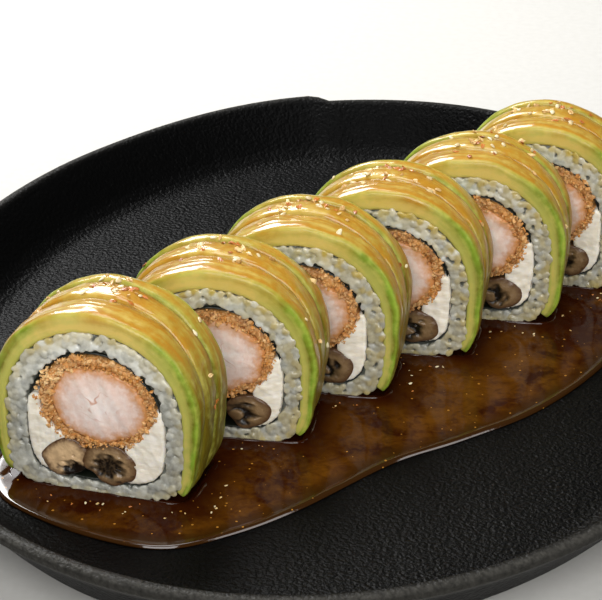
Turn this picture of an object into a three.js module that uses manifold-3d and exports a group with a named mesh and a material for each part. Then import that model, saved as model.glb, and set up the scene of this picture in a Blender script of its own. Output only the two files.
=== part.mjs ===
// Six slices of an inside-out roll draped with avocado, in a pool of sauce on an oval stoneware plate.
// Millimetres, +Z up. The origin is the middle of the plate's underside, and +Y is the plate's long axis.
import * as THREE from 'three';
import { mergeVertices } from 'three/addons/utils/BufferGeometryUtils.js';
import Module from 'manifold-3d';

const wasm = await Module();
wasm.setup();

const TOUCH_GAP = 0.3;
const MERGE_DISTANCE = 1e-4;
const FINE_STEPS = 240;
const { degToRad, lerp, smoothstep } = THREE.MathUtils;

// Plate: a hand-formed oval with a flat lip and a small raised lug where the rim was pinched
const PLATE_HALF_WIDTH = 125.6;
const PLATE_HALF_LENGTH = 167.5;
const PLATE_FLOOR = 4;
const RIM_HEIGHT = 20;
const LIP_WIDTH = 4.5;
const WALL_RUN = 17;
const FOOT_INSET = 18;
const FOOT_BEVEL = { run: 2.5, rise: 1.6 };
const LIP_THICKNESS = 6;
const LIP_EDGE = { inset: 0.4, drop: 2.2, round: 0.5 };
const WALL_BEND = { run: 0.2, height: 0.74 };
const WALL_SWEEP = { run: 0.62, height: 0.2 };
const PLATE_SECTORS = 64;
const RIM_WAVES = [
  { size: 0.7, count: 3, phase: 0.6 },
  { size: 0.5, count: 5, phase: 2.1 },
];
const RIM_HEIGHT_WAVE = { size: 0.7, count: 4, phase: 1.3 };
const LUG = { start: 142, top: 105.8, end: 103.6, size: 4.4, rise: 0.8 };

// Slices of the roll: place of the front foot's middle, turn about Z, height, and how many mushrooms show
const SLICE_DEPTH = 26.0;
const SECTION_HEIGHT = 53;
const SLICES = [
  { x: -45.0, y: -99.6, turn: -6.4, height: 53.0, mushrooms: 2 },
  { x: -21.1, y: -64.3, turn: 0.9, height: 51.0, mushrooms: 2 },
  { x: -2.9, y: -33.7, turn: -0.6, height: 51.8, mushrooms: 2 },
  { x: 17.3, y: -4.5, turn: -0.5, height: 52.0, mushrooms: 2 },
  { x: 38.9, y: 22.8, turn: -0.7, height: 52.5, mushrooms: 1 },
  { x: 57.2, y: 51.5, turn: -3.0, height: 53.2, mushrooms: 1 },
];

// Section of a slice, seen from the front: u to the right, v up from the plate
const RICE_VAULT = { centre: -1.3, halfWidth: 25.0, top: 47.6, bottom: 0, waist: 23, crest: 2.05, foot: 5.2 };
const NORI_VAULT = { centre: -0.8, halfWidth: 19.4, top: 42.2, bottom: 4.2, waist: 22.3, crest: 2.1, foot: 4.4 };
const NORI_THICKNESS = 0.6;
const COAT = { u: -0.6, v: 27.2, halfWidth: 16.4, halfHeight: 12.8, tilt: 0 };
const SHRIMP = { u: 0.3, v: 26.7, halfWidth: 13.4, halfHeight: 9.9, tilt: -9 };
const COAT_CRAG = 0.5;
const COAT_STATIONS = 22;
const CRUMB_RIDGE = 0.45;
const SHRIMP_BULGE = 0.7;
const CHEESE_TOP = 27;
const FRONT_SLICE_MUSHROOMS = {
  left: { u: -9.6, v: 10.2, halfWidth: 5.7, halfHeight: 4.6, tilt: 24, gills: 250 },
  right: { u: 3.2, v: 10.0, halfWidth: 6.6, halfHeight: 4.7, tilt: -14, gills: 262 },
  leftCheeseLimit: -9.0,
  rightCheeseLimit: 7.6,
};
const OTHER_SLICE_MUSHROOMS = {
  left: { u: -5.4, v: 10.2, halfWidth: 6.0, halfHeight: 4.5, tilt: 18, gills: 255 },
  right: { u: 8.6, v: 10.1, halfWidth: 5.8, halfHeight: 4.6, tilt: 6, gills: 205 },
  leftCheeseLimit: -9.5,
  rightCheeseLimit: 10.4,
};
const GILL_NOTCH = { depth: 0.42, spread: 0.5 };
const MUSHROOM_STATIONS = 16;
const FILLING_INSET = 0.25;

// Rice grains stand out of both cut faces
const GRAIN_RELIEF = 0.45;
const RICE_STATIONS = 32;
const RICE_EDGE_ROUND = 0.6;
const GRAIN_ROWS = { outer: 0.3, inner: 0.7 };

// Avocado: three shingled slices over the vault, from one foot to the other
const DRAPE_GAP = 0.7;
const CREST_COVER = 4.7;
const FOOT_COVER = 1.9;
const COVER_FULLNESS = 0.8;
const EDGE_ROUND = { run: 0.18, height: 0.86 };
const DRAPE_FOOT = 1.1;
const DRAPE_UNDERCUT = -0.6;
const DRAPE_STATIONS = 14;
const SEAM_SKEW = -5.5;
const SEAM_BOW = -2.5;
const AVOCADO_SLICES = [
  { name: 'front', from: null, to: 11.2, frontCover: 1.0, backCover: 0.74, seeds: 2 },
  { name: 'middle', from: 11.2, to: 20.6, frontCover: 1.04, backCover: 0.76, seeds: 5 },
  { name: 'back', from: 20.6, to: null, frontCover: 1.06, backCover: 0.84, seeds: 0 },
];
const SEED = { halfLength: 1.6, halfWidth: 0.95, halfHeight: 0.8, sink: 0.4 };
const SEED_SPREAD = { from: 0.4, to: 0.66 };
const SEED_MARGIN = 0.3;

// Sauce: a shallow pool with a rounded edge, running along the row and out to its right
const SAUCE_DEPTH = 1;
const SAUCE_EDGE = [
  { inset: 0.5, height: 0 },
  { inset: 0, height: 0.4 },
  { inset: 1.0, height: 0.8 },
  { inset: 3.5, height: SAUCE_DEPTH },
];
const SAUCE_STATIONS = 50;
const SAUCE_CLEARANCE = 0.35;
const FLANK_BULGE = 1.2;
const SAUCE_OUTLINE = [
  [-62.8, -111.4], [-42.8, -120.4], [-22.8, -122.9], [-6.8, -112.9], [8.2, -96.9], [28.2, -68.9],
  [45.2, -52.9], [64.2, -31.9], [79.2, -3.9], [88.2, 26.1], [91.2, 54.1], [84.2, 80.1], [57.2, 92.1],
  [27.2, 88.1], [7.2, 59.1], [-13.8, 32.1], [-33.8, 1.1], [-52.8, -29.9], [-73.8, -63.9], [-77.8, -87.9],
  [-72.8, -102.4],
];

const COLOURS = {
  stoneware: { color: 0x17181a, roughness: 0.6 },
  sauce: { color: 0x5a370f, roughness: 0.12 },
  rice: { color: 0xc9cbbf, roughness: 0.4 },
  nori: { color: 0x12140f, roughness: 0.6 },
  tempura: { color: 0xc9823f, roughness: 0.75 },
  cheese: { color: 0xf0e9d6, roughness: 0.5 },
  mushroom: { color: 0x6b5540, roughness: 0.5 },
  avocado: { color: 0xb3b243, roughness: 0.2 },
};

/** Repeatable random numbers from 0 to 1. */
function seededRandom(seed) {
  let state = seed;
  return () => {
    state = (state * 1664525 + 1013904223) % 4294967296;
    return state / 4294967296;
  };
}

/** A point of a slice: u across, v up, depth away from the cut front face. */
function place(point, depth) {
  return new THREE.Vector3(point.x, depth, point.y);
}

/** Points spaced evenly along the closed curve through the given points. */
function spacedOutline(points, count) {
  const curve = new THREE.CatmullRomCurve3(points.map((point) => new THREE.Vector3(point.x, point.y, 0)), true);
  curve.arcLengthDivisions = 2 * FINE_STEPS;
  return curve.getSpacedPoints(count).slice(0, count).map((point) => new THREE.Vector2(point.x, point.y));
}

/** Unit normals that point out of a counterclockwise closed outline. */
function outwardNormals(outline) {
  return outline.map((point, index) => {
    const before = outline.at(index - 1);
    const after = outline[(index + 1) % outline.length];
    return new THREE.Vector2(after.y - before.y, before.x - after.x).normalize();
  });
}

function offsetOutline(outline, distance) {
  const normals = outwardNormals(outline);
  return outline.map((point, index) => point.clone().addScaledVector(normals[index], distance));
}

/** A flat-footed vault: an oval arch above the waist and a squarer oval below it. */
function vaultOutline(vault, height, count) {
  const scale = height / SECTION_HEIGHT;
  const fine = [];
  for (let step = 0; step < FINE_STEPS; step += 1) {
    const angle = -Math.PI / 2 + (2 * Math.PI * step) / FINE_STEPS;
    const isArch = Math.sin(angle) >= 0;
    const bend = 2 / (isArch ? vault.crest : vault.foot);
    const reach = isArch ? vault.top - vault.waist : vault.waist - vault.bottom;
    const across = Math.sign(Math.cos(angle)) * Math.abs(Math.cos(angle)) ** bend;
    const up = Math.sign(Math.sin(angle)) * Math.abs(Math.sin(angle)) ** bend;
    fine.push(new THREE.Vector2(vault.centre + vault.halfWidth * across, (vault.waist + reach * up) * scale));
  }
  return spacedOutline(fine, count);
}

/** A tilted oval; swell gives the share by which its radius grows at each angle. */
function ovalOutline(oval, height, count, swell = () => 0) {
  const scale = height / SECTION_HEIGHT;
  const middle = new THREE.Vector2(oval.u, oval.v * scale);
  const points = [];
  for (let step = 0; step < count; step += 1) {
    const angle = (2 * Math.PI * step) / count;
    const grow = 1 + swell(angle);
    const point = new THREE.Vector2(
      oval.halfWidth * grow * Math.cos(angle),
      oval.halfHeight * scale * grow * Math.sin(angle),
    );
    points.push(point.rotateAround(new THREE.Vector2(), degToRad(oval.tilt)).add(middle));
  }
  return points;
}

function signedVolume(points, triangles) {
  let volume = 0;
  const normal = new THREE.Vector3();
  for (let index = 0; index < triangles.length; index += 3) {
    normal.crossVectors(points[triangles[index + 1]], points[triangles[index + 2]]);
    volume += points[triangles[index]].dot(normal) / 6;
  }
  return volume;
}

function middleOf(ring) {
  const middle = new THREE.Vector3();
  ring.forEach((point) => middle.add(point));
  return middle.divideScalar(ring.length);
}

/** A closed skin over rings of equal count, ended by a fan at each apex or joined round on itself. */
function loft(rings, { isLoop = false, startApex = middleOf(rings[0]), endApex = middleOf(rings.at(-1)) } = {}) {
  const size = rings[0].length;
  const points = rings.flat();
  const triangles = [];
  const joins = isLoop ? rings.length : rings.length - 1;
  for (let ring = 0; ring < joins; ring += 1) {
    const near = ring * size;
    const far = ((ring + 1) % rings.length) * size;
    for (let step = 0; step < size; step += 1) {
      const after = (step + 1) % size;
      triangles.push(near + step, near + after, far + after);
      triangles.push(near + step, far + after, far + step);
    }
  }
  if (!isLoop) {
    const last = (rings.length - 1) * size;
    points.push(startApex, endApex);
    for (let step = 0; step < size; step += 1) {
      const after = (step + 1) % size;
      triangles.push(points.length - 2, after, step);
      triangles.push(points.length - 1, last + step, last + after);
    }
  }
  if (signedVolume(points, triangles) < 0) {
    triangles.reverse();
  }
  const geometry = new THREE.BufferGeometry().setFromPoints(points);
  geometry.setIndex(triangles);
  geometry.computeVertexNormals();
  return geometry;
}

/** A straight bar of the given section between two depths of a slice. */
function prism(outline, from, to) {
  const geometry = new THREE.ExtrudeGeometry(new THREE.Shape(outline), { depth: to - from, bevelEnabled: false });
  geometry.translate(0, 0, -to);
  geometry.rotateX(Math.PI / 2);
  return geometry;
}

function toManifold(geometry) {
  const bare = geometry.clone();
  bare.deleteAttribute('normal');
  bare.deleteAttribute('uv');
  const merged = mergeVertices(bare, MERGE_DISTANCE);
  return new wasm.Manifold(new wasm.Mesh({
    numProp: 3,
    vertProperties: merged.attributes.position.array,
    triVerts: new Uint32Array(merged.index.array),
  }));
}

function fromManifold(manifold) {
  const { vertProperties, triVerts } = manifold.getMesh();
  const geometry = new THREE.BufferGeometry();
  geometry.setAttribute('position', new THREE.BufferAttribute(vertProperties, 3));
  geometry.setIndex(new THREE.BufferAttribute(triVerts, 1));
  geometry.computeVertexNormals();
  return geometry;
}

function makeMesh(name, geometry, finish) {
  const mesh = new THREE.Mesh(geometry, new THREE.MeshStandardMaterial({ ...finish, metalness: 0 }));
  mesh.name = name;
  return mesh;
}

function wave({ size, count, phase }, angle) {
  return size * Math.cos(count * angle + phase);
}

/** How far the pinched lug stands out at an angle, from 0 to 1: a long rise and a sudden end. */
function lugShare(angle) {
  const degrees = THREE.MathUtils.radToDeg(angle);
  const rise = smoothstep(LUG.start - degrees, 0, LUG.start - LUG.top);
  const end = smoothstep(degrees, LUG.end, LUG.top);
  return rise * end;
}

/** A point of the plate: inset from the rim's outline along its normal, at a height. */
function platePoint(angle, inset, height) {
  const rim = new THREE.Vector2(PLATE_HALF_WIDTH * Math.cos(angle), PLATE_HALF_LENGTH * Math.sin(angle));
  const normal = new THREE.Vector2(PLATE_HALF_LENGTH * Math.cos(angle), PLATE_HALF_WIDTH * Math.sin(angle));
  normal.normalize();
  const rimShare = THREE.MathUtils.clamp(1 - inset / (LIP_WIDTH + WALL_RUN), 0, 1);
  const swell = RIM_WAVES.reduce((sum, part) => sum + wave(part, angle), LUG.size * lugShare(angle));
  const lift = wave(RIM_HEIGHT_WAVE, angle) + LUG.rise * lugShare(angle);
  rim.addScaledVector(normal, swell * rimShare - inset);
  return new THREE.Vector3(rim.x, rim.y, height + lift * rimShare * (height / RIM_HEIGHT));
}

function makePlate() {
  const wallHeight = RIM_HEIGHT - PLATE_FLOOR;
  const profile = [
    { inset: FOOT_INSET, height: 0 },
    { inset: FOOT_INSET - FOOT_BEVEL.run, height: FOOT_BEVEL.rise },
    { inset: LIP_WIDTH, height: RIM_HEIGHT - LIP_THICKNESS },
    { inset: LIP_EDGE.inset, height: RIM_HEIGHT - LIP_EDGE.drop },
    { inset: LIP_EDGE.inset, height: RIM_HEIGHT - LIP_EDGE.round },
    { inset: LIP_WIDTH - LIP_EDGE.round, height: RIM_HEIGHT },
    { inset: LIP_WIDTH + WALL_BEND.run * WALL_RUN, height: PLATE_FLOOR + WALL_BEND.height * wallHeight },
    { inset: LIP_WIDTH + WALL_SWEEP.run * WALL_RUN, height: PLATE_FLOOR + WALL_SWEEP.height * wallHeight },
    { inset: LIP_WIDTH + WALL_RUN, height: PLATE_FLOOR },
  ];
  const angles = [degToRad(LUG.top), degToRad(LUG.end)];
  for (let step = 0; step < PLATE_SECTORS; step += 1) {
    angles.push((2 * Math.PI * step) / PLATE_SECTORS);
  }
  angles.sort((first, second) => first - second);
  const rings = profile.map(({ inset, height }) => angles.map((angle) => platePoint(angle, inset, height)));
  return loft(rings);
}

/** The rice: a ring round the seaweed with grain-sized bumps on both cut faces. */
function makeRice(slice, random) {
  const outer = vaultOutline(RICE_VAULT, slice.height, RICE_STATIONS);
  const inner = offsetOutline(vaultOutline(NORI_VAULT, slice.height, RICE_STATIONS), TOUCH_GAP);
  const stations = outer.map((rim, index) => {
    const across = (share) => rim.clone().lerp(inner[index], share);
    const bump = () => GRAIN_RELIEF * (2 * random() - 1);
    return [
      place(rim, RICE_EDGE_ROUND),
      place(across(GRAIN_ROWS.outer), bump()),
      place(across(GRAIN_ROWS.inner), bump()),
      place(inner[index], GRAIN_RELIEF),
      place(inner[index], SLICE_DEPTH - GRAIN_RELIEF),
      place(across(GRAIN_ROWS.inner), SLICE_DEPTH + bump()),
      place(across(GRAIN_ROWS.outer), SLICE_DEPTH + bump()),
      place(rim, SLICE_DEPTH - RICE_EDGE_ROUND),
    ];
  });
  return loft(stations, { isLoop: true });
}

/** The seaweed: a thin sheet rolled round the filling. */
function makeNori(slice) {
  const outer = vaultOutline(NORI_VAULT, slice.height, RICE_STATIONS);
  const inner = offsetOutline(outer, -NORI_THICKNESS);
  const stations = outer.map((point, index) => [
    place(point, FILLING_INSET),
    place(inner[index], FILLING_INSET),
    place(inner[index], SLICE_DEPTH - FILLING_INSET),
    place(point, SLICE_DEPTH - FILLING_INSET),
  ]);
  return loft(stations, { isLoop: true });
}

/** The outline of the battered shrimp with the crags of its crumb. */
function coatOutline(slice, random) {
  const crag = COAT_CRAG / COAT.halfHeight;
  return ovalOutline(COAT, slice.height, COAT_STATIONS, () => crag * (2 * random() - 1));
}

/** The battered shrimp: smooth flesh that bulges at the cut, in a craggy coat. */
function makeTempura(slice, coat, random) {
  const flesh = ovalOutline(SHRIMP, slice.height, coat.length);
  const crumb = coat.map((point, index) => point.clone().lerp(flesh[index], CRUMB_RIDGE));
  const middle = new THREE.Vector2(SHRIMP.u, (SHRIMP.v * slice.height) / SECTION_HEIGHT);
  const crags = coat.map(() => COAT_CRAG * (2 * random() - 1));
  const rings = [
    flesh.map((point) => place(point, FILLING_INSET)),
    crumb.map((point, index) => place(point, crags[index])),
    coat.map((point) => place(point, 2 * FILLING_INSET)),
    coat.map((point) => place(point, SLICE_DEPTH - 2 * FILLING_INSET)),
    crumb.map((point, index) => place(point, SLICE_DEPTH + crags[index])),
    flesh.map((point) => place(point, SLICE_DEPTH - FILLING_INSET)),
  ];
  return loft(rings, {
    startApex: place(middle, -SHRIMP_BULGE),
    endApex: place(middle, SLICE_DEPTH + SHRIMP_BULGE),
  });
}

/** A mushroom cap's outline, with a notch where the gills are. */
function mushroomOutline(slice, mushroom) {
  const notch = (angle) => {
    const turn = Math.cos(angle - degToRad(mushroom.gills - mushroom.tilt));
    return -GILL_NOTCH.depth * Math.exp((turn - 1) / GILL_NOTCH.spread ** 2);
  };
  return ovalOutline(mushroom, slice.height, MUSHROOM_STATIONS, notch);
}

/** Cream cheese fills what the shrimp and mushrooms leave free on one side, up to a level. */
function makeCheese(slice, side, limit, neighbours) {
  const space = offsetOutline(
    vaultOutline(NORI_VAULT, slice.height, RICE_STATIONS),
    -NORI_THICKNESS - TOUCH_GAP,
  );
  const far = side * NORI_VAULT.halfWidth * 2;
  const top = (CHEESE_TOP * slice.height) / SECTION_HEIGHT;
  const region = [[limit, 0], [far, 0], [far, top], [limit, top]].map(([u, v]) => new THREE.Vector2(u, v));
  let body = toManifold(prism(space, FILLING_INSET, SLICE_DEPTH - FILLING_INSET));
  body = body.intersect(toManifold(prism(region, -1, SLICE_DEPTH + 1)));
  neighbours.forEach((outline) => {
    const grown = offsetOutline(outline, TOUCH_GAP);
    body = body.subtract(toManifold(prism(grown, -1, SLICE_DEPTH + 1)));
  });
  return fromManifold(body);
}

/** The stretch of the rice's outline that the avocado covers, from the left foot over the crest to the right. */
function drapePath(slice) {
  const outline = vaultOutline(RICE_VAULT, slice.height, FINE_STEPS);
  const normals = outwardNormals(outline);
  const covered = outline.map((point, index) => ({ point, normal: normals[index] }));
  return covered.filter(({ point, normal }) => point.y > DRAPE_FOOT && normal.y > DRAPE_UNDERCUT).reverse();
}

/** Depth of the seam between two avocado slices, which slants across the roll; share is 0 at the left foot. */
function seamDepth(crestDepth, share) {
  const side = 2 * share - 1;
  return crestDepth + SEAM_SKEW * side + SEAM_BOW * side * side;
}

/** Stations of one avocado slice: its base point, normal, depths and thickness at a share of the drape. */
function avocadoStation(path, part, share) {
  const { point, normal } = path[Math.round(share * (path.length - 1))];
  const from = part.from === null ? 0 : seamDepth(part.from, share) + TOUCH_GAP / 2;
  const to = part.to === null ? SLICE_DEPTH : seamDepth(part.to, share) - TOUCH_GAP / 2;
  const cover = lerp(FOOT_COVER, CREST_COVER, Math.sin(Math.PI * share) ** COVER_FULLNESS);
  const at = (depth, thickness) => place(point.clone().addScaledVector(normal, thickness + DRAPE_GAP), depth);
  return { from, to, frontCover: cover * part.frontCover, backCover: cover * part.backCover, at };
}

function makeAvocado(path, part) {
  const rings = [];
  for (let index = 0; index < DRAPE_STATIONS; index += 1) {
    const { from, to, frontCover, backCover, at } = avocadoStation(path, part, index / (DRAPE_STATIONS - 1));
    const round = EDGE_ROUND.run * (to - from);
    rings.push([
      at(from, 0),
      at(from, EDGE_ROUND.height * frontCover),
      at(from + round, frontCover),
      at(to - round, backCover),
      at(to, EDGE_ROUND.height * backCover),
      at(to, 0),
    ]);
  }
  return loft(rings);
}

/** Adds sesame seeds that lie half sunk on the crest of an avocado slice. */
function addSeeds(geometry, path, part, random) {
  let body = toManifold(geometry);
  for (let seed = 0; seed < part.seeds; seed += 1) {
    const share = lerp(SEED_SPREAD.from, SEED_SPREAD.to, (seed + random()) / part.seeds);
    const { from, to, frontCover, backCover, at } = avocadoStation(path, part, share);
    const across = lerp(SEED_MARGIN, 1 - SEED_MARGIN, random());
    const cover = lerp(frontCover, backCover, across) - SEED.sink;
    const middle = at(lerp(from, to, across), cover);
    const outward = at(from, 1).sub(at(from, 0)).normalize();
    const along = new THREE.Vector3(0, 1, 0).applyAxisAngle(outward, Math.PI * random());
    const aside = new THREE.Vector3().crossVectors(outward, along);
    const grain = new THREE.SphereGeometry(1, 5, 3);
    grain.scale(SEED.halfLength, SEED.halfWidth, SEED.halfHeight);
    grain.applyMatrix4(new THREE.Matrix4().makeBasis(along, aside, outward).setPosition(middle));
    body = body.add(toManifold(grain));
  }
  return fromManifold(body);
}

/** All the pieces of one slice, in a group that stands on the plate's floor. */
function makeSlice(slice, number) {
  const random = seededRandom(number * 7919);
  const group = new THREE.Group();
  const add = (name, geometry, finish) => group.add(makeMesh(`slice${number}_${name}`, geometry, finish));

  add('rice', makeRice(slice, random), COLOURS.rice);
  add('seaweed', makeNori(slice), COLOURS.nori);

  const coat = coatOutline(slice, random);
  add('tempura_shrimp', makeTempura(slice, coat, random), COLOURS.tempura);

  const layout = number === 1 ? FRONT_SLICE_MUSHROOMS : OTHER_SLICE_MUSHROOMS;
  const sides = slice.mushrooms === 2 ? ['left', 'right'] : ['right'];
  const caps = sides.map((side) => mushroomOutline(slice, layout[side]));
  const grownCoat = toManifold(prism(offsetOutline(coat, TOUCH_GAP), -1, SLICE_DEPTH + 1));
  caps.forEach((outline, index) => {
    const body = toManifold(prism(outline, FILLING_INSET, SLICE_DEPTH - FILLING_INSET)).subtract(grownCoat);
    add(`mushroom_${sides[index]}`, fromManifold(body), COLOURS.mushroom);
  });
  const neighbours = [coat, ...caps];
  const onlyCap = layout.right.u - layout.right.halfWidth - TOUCH_GAP;
  const leftLimit = slice.mushrooms === 2 ? layout.leftCheeseLimit : onlyCap;
  add('cheese_left', makeCheese(slice, -1, leftLimit, neighbours), COLOURS.cheese);
  add('cheese_right', makeCheese(slice, 1, layout.rightCheeseLimit, neighbours), COLOURS.cheese);

  const path = drapePath(slice);
  AVOCADO_SLICES.forEach((part) => {
    const strip = makeAvocado(path, part);
    add(`avocado_${part.name}`, addSeeds(strip, path, part, random), COLOURS.avocado);
  });

  group.position.set(slice.x, slice.y, PLATE_FLOOR + TOUCH_GAP);
  group.rotation.z = degToRad(slice.turn);
  group.updateMatrixWorld();
  return group;
}

/** The space that a slice takes up in the sauce, with a little air round it. */
function sliceSpace(slice, group) {
  const outline = offsetOutline(
    vaultOutline(RICE_VAULT, slice.height, RICE_STATIONS),
    DRAPE_GAP + FOOT_COVER + FLANK_BULGE + SAUCE_CLEARANCE,
  );
  const margin = GRAIN_RELIEF + SAUCE_CLEARANCE;
  return prism(outline, -margin, SLICE_DEPTH + margin).applyMatrix4(group.matrixWorld);
}

function makeSauce(groups) {
  const points = SAUCE_OUTLINE.map(([x, y]) => new THREE.Vector2(x, y));
  const outline = spacedOutline(points, SAUCE_STATIONS);
  const bottom = PLATE_FLOOR + TOUCH_GAP;
  const rings = SAUCE_EDGE.map(({ inset, height }) => {
    const edge = offsetOutline(outline, -inset);
    return edge.map((point) => new THREE.Vector3(point.x, point.y, bottom + height));
  });
  let pool = toManifold(loft(rings));
  SLICES.forEach((slice, index) => {
    pool = pool.subtract(toManifold(sliceSpace(slice, groups[index])));
  });
  return fromManifold(pool);
}

const board = new THREE.Group();
const slices = SLICES.map((slice, index) => makeSlice(slice, index + 1));
board.add(makeMesh('plate', makePlate(), COLOURS.stoneware));
board.add(makeMesh('sauce', makeSauce(slices), COLOURS.sauce));
board.add(...slices);

export default board;
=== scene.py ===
"""Six slices of avocado roll in amber sauce on an oval stoneware plate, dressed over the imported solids.

Sizes are in millimetres and repeat the part's own. A mesh is written in metres, in the part's frame.
"""

import logging
import math
from dataclasses import dataclass, field
from enum import Enum
from functools import partial
from typing import Any, Callable

import bpy
import numpy as np
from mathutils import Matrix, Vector
from mathutils.kdtree import KDTree


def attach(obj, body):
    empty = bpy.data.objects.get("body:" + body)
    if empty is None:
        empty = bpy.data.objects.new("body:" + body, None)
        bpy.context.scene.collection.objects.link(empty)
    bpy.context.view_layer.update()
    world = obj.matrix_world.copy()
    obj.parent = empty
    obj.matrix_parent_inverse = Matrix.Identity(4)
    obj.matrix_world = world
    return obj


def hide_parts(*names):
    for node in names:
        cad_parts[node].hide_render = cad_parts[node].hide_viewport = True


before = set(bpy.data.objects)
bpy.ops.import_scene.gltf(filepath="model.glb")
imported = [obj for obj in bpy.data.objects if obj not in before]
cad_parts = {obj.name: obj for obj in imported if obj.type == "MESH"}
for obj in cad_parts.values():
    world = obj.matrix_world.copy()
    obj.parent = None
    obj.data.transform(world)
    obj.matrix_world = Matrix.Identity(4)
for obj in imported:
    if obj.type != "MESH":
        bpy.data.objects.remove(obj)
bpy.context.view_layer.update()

log = logging.getLogger("avocado_roll_plate")
Array = np.ndarray
Rng = np.random.Generator
Socket = bpy.types.NodeSocket
Tree = bpy.types.NodeTree
Material = bpy.types.Material
Piece = bpy.types.Object

MM = 0.001
TAU = 2 * math.pi
# Top of the plate's floor, gap under a slice, depth of a slice, and the height its section is drawn for.
FLOOR_TOP = 4.0
TOUCH_GAP = 0.3
SLICE_DEPTH = 26.0
SECTION_HEIGHT = 53.0
# About the length of the way over a roll, which patterns along the avocado are laid out on.
GIRTH = 130.0
FINE_STEPS = 480
# Sockets of a Mix node for colours, by number, because those for other types share their names.
FACTOR, FIRST, SECOND = 0, 6, 7
COLOURS = {"out": 2, "data_type": "RGBA"}


class Slot(Enum):
    """The record's material slots."""

    STONEWARE = "stoneware"
    SAUCE = "sauce"
    RICE = "rice"
    SEAWEED = "seaweed"
    TEMPURA = "tempura"
    CHEESE = "cream_cheese"
    MUSHROOM = "mushroom"
    AVOCADO = "avocado"


class Face(Enum):
    """The two cut faces of a slice."""

    FRONT = "front"
    BACK = "back"

    def depth(self, sunk: Array) -> Array:
        """Turns distances behind this face into depths in the slice."""
        return sunk if self is Face.FRONT else SLICE_DEPTH - sunk


def linear(code: str) -> tuple[float, float, float, float]:
    """Turns an sRGB hex colour to linear light.

    Args:
        code: Colour such as "#C9823F".

    Returns:
        Linear red, green and blue, and an alpha of one.
    """
    shares = (int(code[i:i + 2], 16) / 255 for i in (1, 3, 5))
    red, green, blue = (s / 12.92 if s <= 0.04045 else ((s + 0.055) / 1.055) ** 2.4 for s in shares)
    return red, green, blue, 1.0


def per_metre(size: float) -> float:
    """Gives a pattern's scale from the size of its cells in millimetres."""
    return 1 / (size * MM)


def add_node(tree: Tree, kind: str, inputs: dict[Any, Any], out: str | int = 0,
             **settings: Any) -> Socket | None:
    """Adds a shader node with its settings and links.

    Args:
        tree: Node tree that gets it.
        kind: Blender's name for the node type, after its prefix.
        inputs: Values, hex colours or sockets for its inputs, by name or number.
        out: The output that is wanted.
        settings: Values for its own properties.

    Returns:
        The wanted output, if the node has any.
    """
    made = tree.nodes.new("ShaderNode" + kind)
    for name, value in settings.items():
        setattr(made, name, value)
    for key, value in inputs.items():
        if isinstance(value, Socket):
            tree.links.new(value, made.inputs[key])
        else:
            made.inputs[key].default_value = linear(value) if isinstance(value, str) else value
    return made.outputs[out] if made.outputs else None


def begin(name: str) -> tuple[Material, Callable[..., Socket], Socket]:
    """Starts an empty node material.

    Args:
        name: Common name of the real material.

    Returns:
        The material, the function that adds nodes to it, and the Object coordinates.
    """
    material = bpy.data.materials.new(name)
    material.use_nodes = True
    material.node_tree.nodes.clear()
    add = partial(add_node, material.node_tree)
    return material, add, add("TexCoord", {}, "Object")


def close(material: Material, inputs: dict[str, Any]) -> Material:
    """Puts the surface shader on a material's output.

    Args:
        material: The material.
        inputs: Values or sockets for the shader.

    Returns:
        The same material.
    """
    shader = add_node(material.node_tree, "BsdfPrincipled", inputs)
    add_node(material.node_tree, "OutputMaterial", {"Surface": shader})
    return material


def smoothstep(low: float, high: float, value: Array) -> Array:
    """Rises smoothly from 0 at low to 1 at high."""
    share = np.clip((value - low) / (high - low), 0.0, 1.0)
    return share * share * (3 - 2 * share)


def lerp(first: Array, second: Array, share: Array) -> Array:
    """Goes straight from first to second."""
    return first + (second - first) * share


def squared(value: Array, power: float) -> Array:
    """Pushes a sine or cosine towards its ends, which squares a circle."""
    return np.sign(value) * np.abs(value) ** power


def spaced(points: Array, count: int) -> Array:
    """Steps evenly round a closed line.

    Args:
        points: The line's corners.
        count: Number of steps.

    Returns:
        The points at the steps.
    """
    loop = np.vstack([points, points[:1]])
    run = np.concatenate([[0.0], np.cumsum(np.linalg.norm(np.diff(loop, axis=0), axis=1))])
    marks = np.linspace(0.0, run[-1], count, endpoint=False)
    return np.stack([np.interp(marks, run, loop[:, axis]) for axis in range(loop.shape[1])], axis=1)


def on_loop(points: Array, share: Array) -> Array:
    """Finds places on a closed line.

    Args:
        points: Evenly spaced points of the line.
        share: Share of the way round, for each place.

    Returns:
        One point for each share.
    """
    at = (share % 1.0) * len(points)
    low = np.floor(at).astype(int)
    return lerp(points[low % len(points)], points[(low + 1) % len(points)], (at - low)[:, None])


def outward(points: Array) -> Array:
    """Finds the normals of a closed line.

    Args:
        points: The line, counterclockwise.

    Returns:
        One outward unit normal for each point.
    """
    along = np.roll(points, -1, axis=0) - np.roll(points, 1, axis=0)
    normal = np.stack([along[:, 1], -along[:, 0]], axis=1)
    return normal / np.linalg.norm(normal, axis=1, keepdims=True)


def swollen(points: Array, by: Array | float) -> Array:
    """Moves a closed line outwards, by one distance or by one for each point."""
    return points + outward(points) * np.reshape(by, (-1, 1))


def closed_curve(knots: Array, steps: int) -> Array:
    """Runs a smooth closed curve through knots.

    Args:
        knots: Points that it passes, in order.
        steps: Points from one knot to the next.

    Returns:
        The curve's points.
    """
    share = np.linspace(0.0, 1.0, steps, endpoint=False)[:, None]
    spans = []
    for i in range(len(knots)):
        p0, p1, p2, p3 = (knots[(i + step) % len(knots)] for step in (-1, 0, 1, 2))
        bend = 2 * p0 - 5 * p1 + 4 * p2 - p3
        twist = 3 * p1 - p0 - 3 * p2 + p3
        spans.append(0.5 * (2 * p1 + (p2 - p0) * share + bend * share ** 2 + twist * share ** 3))
    return np.vstack(spans)


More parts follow.
